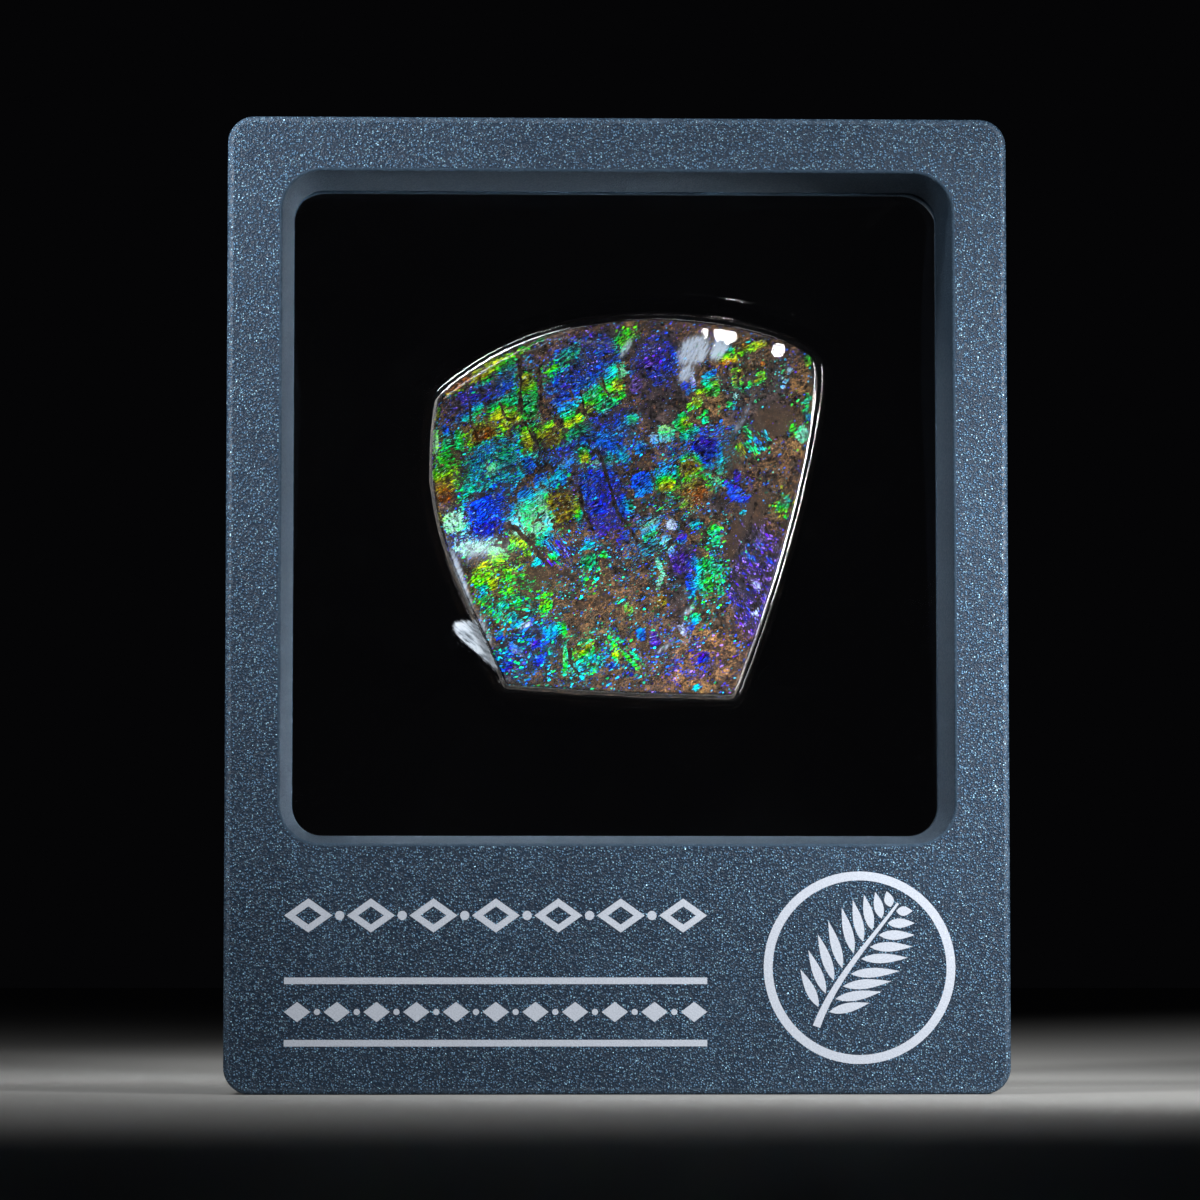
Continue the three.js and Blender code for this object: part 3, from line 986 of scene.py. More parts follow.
@dataclass
class LabelOrnament:
    """The printed ornament on the label band: a fern frond in a ring, and rows of lozenges and rules."""

    ring_x: float = 31.2
    ring_z: float = 16.3
    ring_radius: float = 12.4
    stroke: float = 1.15
    leaflets: int = 9
    row_left: float = -43.0
    row_right: float = 11.5
    chain_z: float = 23.0
    lozenge: tuple[float, float] = (6.2, 4.4)
    rule_z: tuple[float, float] = (14.6, 6.6)
    rule_height: float = 0.85
    small_lozenge: tuple[float, float] = (3.4, 2.6)

    def outlines(self) -> list[Array]:
        """Every closed outline of the print; where two lie one in the other, the inner one is a hole."""
        shapes = [self.circle(self.ring_x, self.ring_z, self.ring_radius)]
        shapes.append(self.circle(self.ring_x, self.ring_z, self.ring_radius - self.stroke))
        shapes += self.frond()
        shapes += self.chain(self.chain_z, self.lozenge, 7, hollow=True)
        for z in self.rule_z:
            shapes.append(self.bar(self.row_left, self.row_right, z, self.rule_height))
        shapes += self.chain(sum(self.rule_z) / 2, self.small_lozenge, 11, hollow=False)
        return shapes

    @staticmethod
    def circle(x: float, z: float, radius: float, steps: int = 72) -> Array:
        """A circle's outline in x and z."""
        angle = np.arange(steps) * 2 * math.pi / steps
        return np.stack([x + radius * np.cos(angle), z + radius * np.sin(angle)], axis=1)

    @staticmethod
    def bar(left: float, right: float, z: float, height: float) -> Array:
        """A flat rule's outline in x and z, with its middle at height z."""
        low, high = z - height / 2, z + height / 2
        return np.array([(left, low), (right, low), (right, high), (left, high)])

    def chain(self, z: float, size: tuple[float, float], count: int, hollow: bool) -> list[Array]:
        """A row of lozenges with a dot between each two.

        Args:
            z: Middle of the row.
            size: Width and height of a lozenge.
            count: Number of lozenges.
            hollow: Whether the lozenges are outlines only.

        Returns:
            The outlines.
        """
        width, height = size
        places = np.linspace(self.row_left + width / 2, self.row_right - width / 2, count)
        turn = np.array([(1, 0), (0, 1), (-1, 0), (0, -1)])
        shapes = []
        for x in places:
            shapes.append(np.array([x, z]) + turn * np.array([width, height]) / 2)
            if hollow:
                inner = np.array([width / 2 - 1.25 * self.stroke, height / 2 - 0.9 * self.stroke])
                shapes.append(np.array([x, z]) + turn * inner)
        for x in (places[1:] + places[:-1]) / 2:
            shapes.append(self.circle(x, z, 0.11 * height + 0.12, 16))
        return shapes

    def frond(self) -> list[Array]:
        """A fern frond: a curved stem and pairs of pointed leaflets that get shorter towards the tip."""
        start = (self.ring_x - 5.6, self.ring_z - 7.6)
        end = (self.ring_x + 5.0, self.ring_z + 8.3)
        controls = (self.ring_x - 3.4, self.ring_z - 1.6, self.ring_x + 1.4, self.ring_z + 3.4)
        middle = bezier(start, controls, end, 40)
        along = np.gradient(middle, axis=0)
        along /= np.linalg.norm(along, axis=1)[:, None]
        across = np.stack([-along[:, 1], along[:, 0]], axis=1)
        half = np.linspace(0.5, 0.16, len(middle))[:, None]
        shapes = [np.concatenate([middle + across * half, (middle - across * half)[::-1]])]
        for number in range(self.leaflets):
            share = number / (self.leaflets - 1)
            at = round(5 + share * 33)
            length = 6.4 * math.sin(math.pi * (0.30 + 0.62 * share)) ** 0.8
            for side in (1, -1):
                heading = along[at] * 0.62 + side * across[at] * 0.78
                root = middle[at] + side * across[at] * (half[at] + 0.28)
                shapes.append(self.leaflet(root, heading / np.linalg.norm(heading), length))
        return shapes

    @staticmethod
    def leaflet(root: Array, heading: Array, length: float) -> Array:
        """One pointed leaflet.

        Args:
            root: Where it starts.
            heading: The way that it points.
            length: Its length.

        Returns:
            The points in x and z.
        """
        share = np.linspace(0, 1, 9)
        belly = 0.62 * np.sin(math.pi * share**0.8)
        side = np.array([-heading[1], heading[0]])
        spine = root + np.outer(share * length, heading)
        upper = spine + np.outer(belly, side)
        lower = spine - np.outer(belly, side)
        return np.concatenate([upper, lower[-2:0:-1]])


def inside_count(points: Array, outline: Array) -> Array:
    """Whether each point lies inside a closed outline.

    Args:
        points: Points in x and z.
        outline: Corners in x and z.

    Returns:
        1 for each point inside and 0 for the others.
    """
    x, z = points[:, :1], points[:, 1:]
    x0, z0 = outline[:, 0][None], outline[:, 1][None]
    x1, z1 = np.roll(outline[:, 0], -1)[None], np.roll(outline[:, 1], -1)[None]
    crosses = (z0 > z) != (z1 > z)
    rise = np.where(z1 == z0, 1.0, z1 - z0)
    hit = x < (x1 - x0) * (z - z0) / rise + x0
    return (crosses & hit).sum(axis=1) % 2


# ---- Frame halves ----


@dataclass
class FrameHalf:
    """One half of the moulded frame, from its face to the parting plane."""

    name: str
    node: str
    side: float
    ornament: LabelOrnament | None = None
    corner: float = 3.5
    edge_radius: float = 0.8
    parting_radius: float = 0.18
    parting_gap: float = 0.15
    rail: float = 7.2
    label_band: float = 32.3
    window_corner: float = 4.0
    wall_draft: float = 1.2
    rim_radius: float = 0.4
    seat_depth: float = 0.75
    seat_width: float = 2.6
    seat_corner: float = 1.0
    foot_radius: float = 0.15

    def build(self, finish: Material) -> bpy.types.Object:
        """Makes the half.

        Args:
            finish: The frame's material.

        Returns:
            The finished piece, which rides on the frame's body.
        """
        low, high = (np.array(corner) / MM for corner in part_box(self.node))
        self.half_width = (high[0] - low[0]) / 2
        self.height = high[2] - low[2]
        self.half_depth = max(abs(low[1]), abs(high[1]))
        skin = Skin()
        profile = self.profile()
        loops = [(skin.add_points(self.turned(at_depth(loop, y))), marks) for loop, y, marks in profile]
        for (inner, _), (outer, marks) in zip(loops[:-1], loops[1:], strict=True):
            skin.add_band(inner, outer, **marks)
        self.add_face(skin, loops[0][0], loops[-1][0])
        piece = skin.build(self.name, [finish])
        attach(piece, "root")
        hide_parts(self.node)
        return piece

    def turned(self, points: Array) -> Array:
        """Points of the front half, turned to face the other way for the back half."""
        return points if self.side == FRONT else points * np.array([-1, -1, 1])

    def outer_loop(self, inset: float) -> Array:
        """The frame's outline, moved in."""
        half = self.half_width - inset
        return rounded_rectangle(-half, half, inset, self.height - inset, self.corner - inset)

    def window_loop(self, inset: float, radius: float) -> Array:
        """The window's outline.

        Args:
            inset: How far it is moved in.
            radius: Of its corners.

        Returns:
            Its points in x and z.
        """
        half = self.half_width - self.rail - inset
        top = self.height - self.rail - inset
        return rounded_rectangle(-half, half, self.label_band + inset, top, radius)

    def profile(self) -> list[tuple[Array, float, dict]]:
        """Every loop of the half, from its face's outer edge round its back to its face's window edge.

        Returns:
            Each loop, its depth, and what the faces that end at it carry.
        """
        face = -self.half_depth
        seam = -self.parting_gap
        quarter = np.linspace(0, math.pi / 2, 8)
        loops = []
        for angle in quarter:
            inset = self.edge_radius * (1 - math.sin(angle))
            y = face + self.edge_radius * (1 - math.cos(angle))
            loops.append((self.outer_loop(inset), y, {"edge": 0.8}))
        small = self.parting_radius
        for angle in quarter[::2]:
            y = seam - small * (1 - math.sin(angle))
            loops.append((self.outer_loop(small * (1 - math.cos(angle))), y, {}))
        loops.append((self.outer_loop(small), seam, {}))
        seat = self.window_loop(self.wall_draft - self.seat_width, self.seat_corner)
        hidden = {"satin": 1.0, "flat": True}
        loops.append((seat, seam, hidden))
        loops.append((seat, -self.seat_depth, hidden))
        foot = self.foot_radius
        for angle in quarter[::3]:
            inset = self.wall_draft - foot * (1 - math.sin(angle))
            y = -self.seat_depth - foot * (1 - math.cos(angle))
            loops.append((self.window_loop(inset, self.window_corner), y, {"satin": 1.0}))
        rim = self.rim_radius
        for angle in np.linspace(0, math.pi / 2, 7):
            inset = rim * (math.cos(angle) - 1)
            y = face + rim * (1 - math.sin(angle))
            radius = self.window_corner + self.wall_draft - inset
            marks = {"satin": 1.0, "edge": 0.35 * float(angle > 0)}
            loops.append((self.window_loop(inset, radius), y, marks))
        return loops

    def add_face(self, skin: Skin, outer: Array, window: Array) -> None:
        """Adds the flat face, with the ornament's outlines as edges in it.

        Args:
            skin: The mesh in the making.
            outer: Point numbers of the face's outer edge.
            window: Point numbers of its window edge.
        """
        shapes = self.ornament.outlines() if self.ornament else []
        profile = self.profile()
        rings = [profile[0][0], profile[-1][0], *shapes]
        numbers = np.concatenate([outer, window])
        flat = np.concatenate(rings)
        edges = []
        start = 0
        for ring in rings:
            ids = np.arange(start, start + len(ring))
            edges += np.stack([ids, np.roll(ids, -1)], axis=1).tolist()
            start += len(ring)
        result = geometry.delaunay_2d_cdt([Vector(p) for p in flat], edges, [], 0, 1e-5)
        places = np.array(result[0])
        triangles = np.array(result[2])
        known = {}
        for new, olds in enumerate(result[3]):
            for old in olds:
                if old < len(numbers):
                    known[new] = numbers[old]
        added = skin.add_points(self.turned(at_depth(places, -self.half_depth)))
        lookup = np.array([known.get(new, added[new]) for new in range(len(places))])
        middle = places[triangles].mean(axis=1)
        on_face = (inside_count(middle, rings[0]) - inside_count(middle, rings[1])) == 1
        inked = np.zeros(len(middle), int)
        for shape in shapes:
            inked += inside_count(middle, shape)
        corners = places[triangles]
        a, b = corners[:, 1] - corners[:, 0], corners[:, 2] - corners[:, 0]
        cross = a[:, 0] * b[:, 1] - a[:, 1] * b[:, 0]
        triangles = np.where(cross[:, None] > 0, triangles, triangles[:, ::-1])
        for wanted, ink in ((inked % 2 == 0, 0.0), (inked % 2 == 1, 1.0)):
            skin.add_faces(lookup[triangles[on_face & wanted]], flat=True, ink=ink)


# ---- Ammolite ----


@dataclass(frozen=True)
class StoneOutline:
    """The edge of the polished face: four curves between four corners, in x and z."""

    top_left: tuple = (-23.4, 91.1)
    top_right: tuple = (25.9, 96.4)
    bottom_right: tuple = (15.4, 51.9)
    bottom_left: tuple = (-14.4, 53.2)
    left: tuple = (-26.2, 75.0, -20.7, 67.8)
    bottom: tuple = (-1.8, 52.3, 1.0, 52.1)
    right: tuple = (23.1, 70.9, 28.0, 94.3)
    top: tuple = (25.3, 99.0, -4.5, 108.7)
    centre: tuple = (1.0, 76.0)
    corner_softness: float = 0.3

    def loop(self, steps: int) -> Array:
        """The outline, anticlockwise from its top left corner, with its corners worn a little.

        Args:
            steps: Steps along each of the four sides.

        Returns:
            Four times as many points.
        """
        sides = [
            bezier(self.top_left, self.left, self.bottom_left, steps),
            bezier(self.bottom_left, self.bottom, self.bottom_right, steps),
            bezier(self.bottom_right, self.right, self.top_right, steps),
            bezier(self.top_right, self.top, self.top_left, steps),
        ]
        loop = np.concatenate([side[:-1] for side in sides])
        spacing = np.linalg.norm(np.diff(loop, axis=0), axis=1).mean()
        rounds = max(1, round((self.corner_softness / spacing) ** 2 * 2))
        for _ in range(rounds):
            loop = (np.roll(loop, 1, axis=0) + 2 * loop + np.roll(loop, -1, axis=0)) / 4
        return loop

    def polar(self, points: Array) -> tuple[Array, Array, Array]:
        """Where points lie as seen from the stone's centre.

        Args:
            points: Points in x and z.

        Returns:
            The angle, the distance from the centre, and the outline's distance at that angle.
        """
        arms = points - np.array(self.centre)
        angle = np.arctan2(arms[:, 1], arms[:, 0])
        edge = self.loop(400) - np.array(self.centre)
        edge_angle = np.arctan2(edge[:, 1], edge[:, 0])
        order = np.argsort(edge_angle)
        reach = np.linalg.norm(edge, axis=1)[order]
        reach = np.interp(angle, edge_angle[order], reach, period=2 * math.pi)
        return angle, np.linalg.norm(arms, axis=1), reach


def near_angle(angle: Array, middle: float, width: float) -> Array:
    """A soft bump of 1 around one direction, of directions in radians; the rest is in degrees."""
    off = (np.degrees(angle) - middle + 180) % 360 - 180
    return np.exp(-((off / width) ** 2))


@dataclass(frozen=True)
class StoneForm:
    """The stone's shape, shared by the stone and by the films that lie on it."""

    outline: StoneOutline = StoneOutline()
    thickness: float = 6.8
    dome: float = 0.9
    polished_edge: float = 0.3
    wide_bevel: float = 0.9  # how much wider the edge is along the top left, where it is a flat slope
    roughness: float = 0.22

    def face_level(self, points: Array) -> Array:
        """How far forward the polished face stands at points in x and z, as a depth y."""
        _, distance, reach = self.outline.polar(points)
        return -self.thickness / 2 + self.dome * (distance / reach) ** 2

    def edge_width(self, points: Array) -> Array:
        """The width of the rounded polished edge at points of the outline."""
        return self.polished_edge + self.wide_bevel * self.sloped_share(points)

    def sloped_share(self, points: Array) -> Array:
        """Where the edge is a flat slope, and not round: along the top left."""
        return near_angle(self.outline.polar(points)[0], 134, 24)


class Ground(Enum):
    """Kinds of rock between the shell: how pale, how warm, and how finely mottled."""

    DUSK = (0.34, 0.22, 0.8)
    SLATE = (0.31, 0.5, 0.8)
    BROWN = (0.36, 0.86, 1.0)
    SMOOTH = (0.43, 0.86, 0.3)
    TAN = (0.44, 0.92, 1.2)
    RUSTY = (0.38, 1.0, 1.2)
    DARK = (0.20, 0.50, 0.7)


@dataclass(frozen=True)
class Mark:
    """A slanted block of the face, with the shell, the bits, the painted highlight or the rock that fills it.
    """

    x: float
    z: float
    along: float
    across: float
    names: tuple[str, ...] = ()  # its hues from its upper to its lower side, or its rock
    tilt: float = 28.0  # of the sides that run along it
    lean: float = 112.0  # of its ends
    square: float = 3.2  # 2 is an ellipse, more is squarer
    soft: float = 0.35  # width of its edge in millimetres
    light: float = 0.9
    milk: float = 0.0  # share of white in it
    cover: float = 1.0
    spread: float = 0.07  # how far the hue varies inside it
    small: float = 0.0  # 1 where its bits are specks
    stroke: float = 0.0  # 1 where its bits are long thin shards
    keeps: float = 1.0  # share of the bits that its rock keeps
    strength: float = 1.0

    def mask(self, points: Array, wider: float = 0.0) -> tuple[Array, Array]:
        """Where the block lies.

        Args:
            points: Points in x and z.
            wider: How many millimetres its edge is moved out and softened.

        Returns:
            A share from 0 outside to 1 inside, and the place across it from -1 at its lower edge to 1.
        """
        first, second = math.radians(self.tilt), math.radians(self.lean)
        axes = np.array([(math.cos(first), math.sin(first)), (math.cos(second), math.sin(second))])
        local = (points - np.array([self.x, self.z])) @ np.linalg.inv(axes)
        along, across = self.along + 2 * wider, self.across + 2 * wider
        p, q = 2 * local[:, 0] / along, 2 * local[:, 1] / across
        radius = (np.abs(p) ** self.square + np.abs(q) ** self.square) ** (1 / self.square)
        edge = 2 * self.soft / min(along, across)
        return ease((1 + edge - radius) / (2 * edge)), np.clip(2 * local[:, 1] / self.across, -1, 1)

    def hue(self, which: int) -> float:
        """The place of one of its hues on the row of hues."""
        return Hue[self.names[which]].value[0]


def stretches(places: list[float], width: float, longer: float, **values: object) -> list[Mark]:
    """Marks along a line.

    Args:
        places: The places that it passes, x and z in turn.
        width: Its width.
        longer: How much longer each mark is than its stretch.
        **values: What else the marks have.

    Returns:
        One mark for each stretch of the line.
    """
    ends = list(zip(places[::2], places[1::2], strict=True))
    marks = []
    for (x0, z0), (x1, z1) in zip(ends[:-1], ends[1:], strict=True):
        tilt = math.degrees(math.atan2(z1 - z0, x1 - x0))
        length = math.hypot(x1 - x0, z1 - z0) + longer
        shape = {"tilt": tilt, "lean": tilt + 90, "square": 3.0, "soft": 0.2, **values}
        marks.append(Mark((x0 + x1) / 2, (z0 + z1) / 2, length, width, **shape))
    return marks


def read_marks(rows: str, columns: str = "light milk cover", **shared: float) -> list[Mark]:
    """Reads marks, one on a line, with words that are names of hues or rock, numbers, or settings.

    Args:
        rows: The lines. Each has x, z, the length along and the length across; a thin line has the word
            line, its width and the places that it passes.
        columns: What the further numbers are.
        **shared: What the marks have where their line doesn't say.

    Returns:
        The marks.
    """
    marks = []
    for words in filter(None, map(str.split, rows.splitlines())):
        own = {key: float(value) for key, value in (word.split("=") for word in words if "=" in word)}
        own["names"] = tuple(word for word in words if word.isupper())
        numbers = [float(word) for word in words if not word.isalpha() and "=" not in word]
        if words[0] == "line":
            marks += stretches(numbers[1:], numbers[0], 0.6 * numbers[0], **own)
        else:
            further = dict(zip(columns.split(), numbers[4:]))
            marks.append(Mark(*numbers[:4], **{**shared, **further, **own}))
    return marks


@dataclass(frozen=True)
class Crack:
    """A dark crack along a line of points."""

    width: float
    points: list[tuple[float, float]]

    @classmethod
    def read(cls, row: str) -> "Crack":
        """A crack from its width and the places that it passes, x and z in turn."""
        width, *places = (float(word) for word in row.split())
        return cls(width, list(zip(places[::2], places[1::2], strict=True)))

    def share(self, points: Array) -> Array:
        """Where the crack is.

        Args:
            points: Points in x and z.

        Returns:
            How much of it is at each, from 0 to 1.
        """
        points = points + 0.35 * np.stack([Waves(seed).layered(points, 1.7, 3) for seed in (31, 32)], axis=1)
        nearest = np.full(len(points), np.inf)
        for start, end in zip(self.points[:-1], self.points[1:], strict=True):
            first, step = np.array(start), np.subtract(end, start)
            along = np.clip((points - first) @ step / (step @ step), 0, 1)
            nearest = np.minimum(nearest, np.linalg.norm(points - first - along[:, None] * step, axis=1))
        width = (0.9 * self.width + 0.15) * (0.75 + 0.6 * Waves(33).layered(points, 1.1, 2))
        return ease(1.1 - nearest / np.maximum(width, 0.08))


GROUNDS = read_marks("""
1 76 60 60 BROWN soft=1 square=4
-17.5 92 10 3.2 DUSK 1.2
-4 96 12 6 DUSK 1
-3 85.5 13 5.5 DUSK 1
5.5 96.5 7 6 DUSK 1
6.3 90.2 6 8 SLATE .3
18 92 9 9 SLATE .8
17.5 95.3 5 1.4 RUSTY .5
13 90.4 3.4 2.2 TAN .4
15 83.6 2.6 5.4 SMOOTH 0
20.9 88 6 4.6 SMOOTH .1 tilt=20 lean=115 square=2
24.3 93.5 2.8 4.2 RUSTY .5 lean=90
22.5 84.4 5.4 2.8 TAN .5 tilt=0
-18 79.5 12 7 DUSK 1.2
-10.2 83.6 1.7 6 DARK .4 lean=95
-18.5 72.5 9 4 DUSK 1
-10.8 66.9 4.8 2.8 SMOOTH .1
-3.5 62.2 5.4 5 BROWN .15
-12 57.5 10 6 DUSK 1.3
-3.8 57.4 7 5 BROWN .8
8.2 65.5 3.2 8.5 SLATE .3 lean=95
8.8 69.4 4 4 DUSK .8
11.4 56.5 8 9 TAN .8 tilt=0 lean=80
17.2 74.3 6.5 8.6 SMOOTH .05 tilt=35 lean=75
18.6 67 8 13 DUSK 1.3 tilt=-40 lean=75
13.5 77.3 3 2.6 SLATE .3
1.5 66 8 11 BROWN .6 lean=90 tilt=0
-1.7 78.5 5.5 10 DUSK 1.1 lean=105
1.5 71 2.4 2 RUSTY .5
-20.8 92.6 4.6 1.4 RUSTY .4 tilt=32
-22.6 78.3 2.2 3.6 RUSTY .5
""", "keeps strength", square=2.4, soft=0.6)

FIELDS = read_marks("""
1 76 60 60 AQUA .03 square=4
1 76 60 60 BLUE .1 small=1 square=4
0 64 38 22 SKY .19 small=1 square=3
0 64 38 22 AQUA .09 square=3
-17.5 91.6 9 3.4 PLUM .26 small=1
-15 82.5 8 8 SKY .42
-15 82.5 9 8 SKY .3 small=1
-5 94.5 9 8 BLUE .42
-5 95.5 10 8 INK .35 small=1
-3 85.6 13 6 BLUE .28
5.4 96.5 6 5.5 INK .34
5.4 95.5 6 7 BLUE .25 small=1
1.2 98.8 4 3 LEAF .6 tilt=40
18 93 9 6 AQUA .12 small=1
-7.6 80.2 3.4 3.4 AQUA .6
-1.8 78 5 11 BLUE .5 lean=105
-1.8 78 5 12 INK .3 small=1 lean=105
1.5 84 5 5 SKY .35
9.5 81.5 12 9 JADE .22
12 84 6 6 INK .35 small=1
16 78.6 5 5 BLUE .4 stroke=.5
18.2 85.3 5 4.4 JADE .35 stroke=1
24 88.5 3 7 LEAF .3 lean=90
-19 74 9 5 BLUE .45
-19 72.5 9 4 INK .3 small=1
-11 74 8 6 AQUA .35
-7.5 70.7 4.5 4.5 BLUE .45 stroke=1
-3.2 67.3 3.5 4.6 JADE .36
-13 63.4 7 6 JADE .5
-12 57.8 9 6 AQUA .4
-13 58.5 8 5 BLUE .22 small=1
-3.5 57.2 6.5 4.6 JADE .5
2 57 7 8 SKY .16
3 65 8 11 AQUA .14 lean=90
9 69.5 4 4 PLUM .35
9 73 5 4 SKY .25 small=1
12.6 67.8 4.6 4.6 JADE .3
12 62.6 4 4 JADE .35
11.5 56.8 6 5 PLUM .26
7.3 53.6 6 3 LILAC .24
18.6 67 7.5 15 PLUM .28 stroke=1 tilt=-40 lean=78
18.6 67 8 15 LILAC .18 small=1 stroke=1 tilt=-40 lean=78
17 73 3 5 AQUA .1 stroke=1
22 76.6 3 4.6 LIME .45
13 72.8 4 3.4 JADE .35
""", "cover", square=2.0, soft=0.8)

SHEETS = [replace(sheet, light=0.95 * sheet.light, cover=sheet.cover + 0.14) for sheet in read_marks("""
-14 91 18 9 INK BLUE .36 .37
-11.8 90.5 4 10 JADE AQUA .36 .5 lean=100
-15.5 82.3 13 8 SKY JADE .42 .45
-4.5 94 13 9 BLUE SKY .4 .4
-3 84.5 13 8 INK SKY .38 .36
-17 75.3 11 6 BLUE .65 .56
-10.5 75 7 8 AQUA JADE .62 .52
-2.4 77.5 7 11 BLUE INK .52 .5 lean=105
10.5 82.5 13 9 BLUE JADE .4 .36
5 95.5 8 7 INK BLUE .34 .34
-15 66 8 9 LIME JADE .55 .34
-12 58 9 7 SKY PLUM .5 .12
-3.5 57 8 6 JADE AQUA .5 .27
18.6 67 8 15 LILAC INK .4 .16 tilt=-40 lean=78
11.5 67.2 6 5 SKY LEAF .5 .42
3.5 72.5 9 6 LILAC AQUA .42 .36
-22.2 81.5 4 10 LEAF LEMON .55 .5 lean=95
8.6 57 6 8 PLUM BLUE .4 .18
""", "light cover", square=2.2, soft=1.6, spread=0.12)]

# Places along a small ledge near the top, whose bright line is a painted highlight.
LEDGE = [-11.4, 97.2, -10.4, 97.5, -8.7, 98.6, -6.8, 98.9, -4.2, 98.4, -2.6, 98.4, 0.0, 98.1]
# Painted highlights where the film over the face catches the light, by the left edge and in a fan near the
# top, and a few pale streaks; each with its strength.
PAINTED_HIGHLIGHTS = read_marks("""
-18 70.8 7 2.6 .58 tilt=6 square=2 soft=1.6
-20.3 67.2 1 8.6 .66 tilt=0 lean=109 square=2 soft=.4
-17.4 60.8 1.2 5 .46 tilt=0 lean=115 square=2 soft=.5
1.3 97.6 1.2 2.8 .55 tilt=0 lean=62 square=2 soft=.4
10.3 97.3 4.4 4.4 .62 tilt=5 lean=75 square=2.4 soft=.7
9.3 94.4 2 3 .6 tilt=5 lean=72 square=2 soft=.5
13.6 97.6 2.4 3.6 .7 tilt=5 lean=70 square=2 soft=.5
16.2 87.4 .7 2.6 .5 tilt=0 lean=58 square=2 soft=.4
17.3 89.6 .5 1.6 .45 tilt=0 lean=66 square=2 soft=.3
9.4 62.9 1 2.2 .5 tilt=0 lean=52 square=2 soft=.4
6.3 58.1 1 2.4 .48 tilt=0 lean=40 square=2 soft=.4
""", "strength") + stretches(LEDGE, 0.14, 0.2, lean=90, soft=0.12, strength=0.6)

UPPER_LEFT = """
-19.9 93.2 2.4 .9 RUST .7 0 .7
-21.2 92.2 2.6 .9 RUST GOLD .6 tilt=32
-17.6 94.2 3.4 1.7 LEMON GOLD .75 tilt=30
-16.4 93.4 1.8 .5 LEAF .7
-16.8 95.4 1.8 .8 LEMON 1 tilt=30
-15.2 95.6 2.6 1.5 LEMON LIME .95 tilt=30
-13.9 96.2 1.6 1.4 LIME LEAF .95 tilt=30
-14.1 95 2 .9 JADE AQUA .5
-12.2 97.3 2 .8 LIME tilt=30
-10.2 98.6 1.6 .5 LEAF .5 tilt=30
-14.5 92.8 3.4 1.6 SKY BLUE .6 tilt=35
-14 90.6 2.8 1.6 JADE .6
-16.2 89.6 1.8 1.2 JADE AQUA .5
-18.6 90.9 2.2 1 INK .5 0 .8
-18.2 89.6 1.9 1.6 SKY AQUA .8
-18.3 88.8 1.6 .5 LEAF .7
-19.9 88.6 1.2 1.8 BLUE JADE .7
-15.6 88.7 2.6 1.6 LIME GOLD .95
-13.6 88.4 1.8 2 LIME GOLD .7
-14.7 87.2 1 1.8 LEMON 1
-17.8 87.4 2.4 .4 LIME tilt=5
-17.8 86.2 4.2 1.9 GOLD RUST .5 tilt=17
-20.6 85.4 1.6 2.6 LEAF JADE .75 lean=100
-19.4 85 .8 1.6 LIME .85
-22.3 86.5 .8 2 BLUE .8
-22.2 84.8 1 1.6 JADE .6
-23.6 88.8 .8 1.8 LIME GOLD .75 lean=85
-23.7 85 .9 3.4 LIME .9 .35 lean=92
-22.7 81 2.8 2.4 LEAF LEMON .8
-22.2 83 2 1.6 LEAF .6
-22.6 78.3 2 2.6 GOLD RUST .5 0 .7
-19.3 78.9 2.6 1.6 AQUA JADE .8 tilt=35
-17 79.4 1.6 .8 AQUA .6
-14.6 83 3.6 2.4 JADE AQUA .4 0 .8
-16.4 81.7 1.2 1 LEAF .8 .4
-11.6 82.2 1.6 2.8 SKY BLUE .75 tilt=45
"""

MIDDLE = """
-11.5 92.2 2.2 4 GOLD JADE .45
-11.4 89.8 2.2 3 JADE LEAF .5
-9.4 94 1.6 1.6 GOLD LEAF .5 0 .8
-7.6 95.2 4.4 1.6 JADE .6 0 .8 tilt=32
-7.9 95.1 3.2 .9 LIME LEAF 1.05 tilt=32
-6 97 3.4 1.8 AQUA JADE .55 0 .8 tilt=32
-11.7 85.6 1.7 3.2 LIME GOLD .7 lean=105
-9.3 86.6 2.8 1.8 LIME LEMON .85
-7 91 4 1 BLUE .5
-5.7 87.9 3 1.6 LIME GOLD 1
-6.3 89.5 3 1.7 SKY JADE 1.05
-3.4 90.6 2.6 2.6 JADE LEAF
-3.2 89.6 1.6 .8 GOLD .5 0 .8
-2.2 91.6 2.8 2.6 JADE LEAF 1
-.5 93 3 3.6 JADE LIME 1.05
.4 92.5 .9 1.2 GOLD .7 square=2
-.3 94.4 2.4 .8 AQUA
.9 94.6 1 1.6 LEAF .9 .3
-1.2 90 3 1.4 JADE .6 0 .85
.6 91.2 1.2 1 LEAF .7
-4 93.3 5 1.6 BLUE SKY .5 0 .85
-8 85.6 3 1.8 GOLD .4 0 .75
-5 86.5 4 1.4 JADE .35 0 .8
-4.2 83.4 1.7 2.2 LEAF GOLD .75
-2.6 82.5 .8 .8 LEAF .9 .4
-6.6 82.2 2.2 1 SKY .75 .2
-1.6 84.9 3.6 3.4 SKY BLUE .5 0 .7
-1.2 82.7 1.4 1 JADE .45
2 88.1 1.8 1.4 JADE .6
.5 87.1 1.6 .9 SKY .6
-9.8 79.6 1.8 2.6 BLUE AQUA .95
-7.6 80.2 2.4 2.2 AQUA SKY .8 0 .75
-1.2 80.6 1.6 1 BLUE .8
-.8 79.2 1 1.4 INK BLUE .8
-2.4 76.4 1.6 2.2 INK BLUE .75
-3.6 78.4 1.2 1.4 BLUE .7
3.2 84.5 1.6 1.6 SKY .65
.8 83.6 1.8 2.4 SKY AQUA .55 0 .8
3.4 79.6 2.9 3 BLUE SKY
6.4 80.1 2.6 2.8 AQUA GOLD .65
6.2 81.6 2.2 .5 SKY .8
8.1 81.2 1.3 1.8 BLUE JADE .85
"""

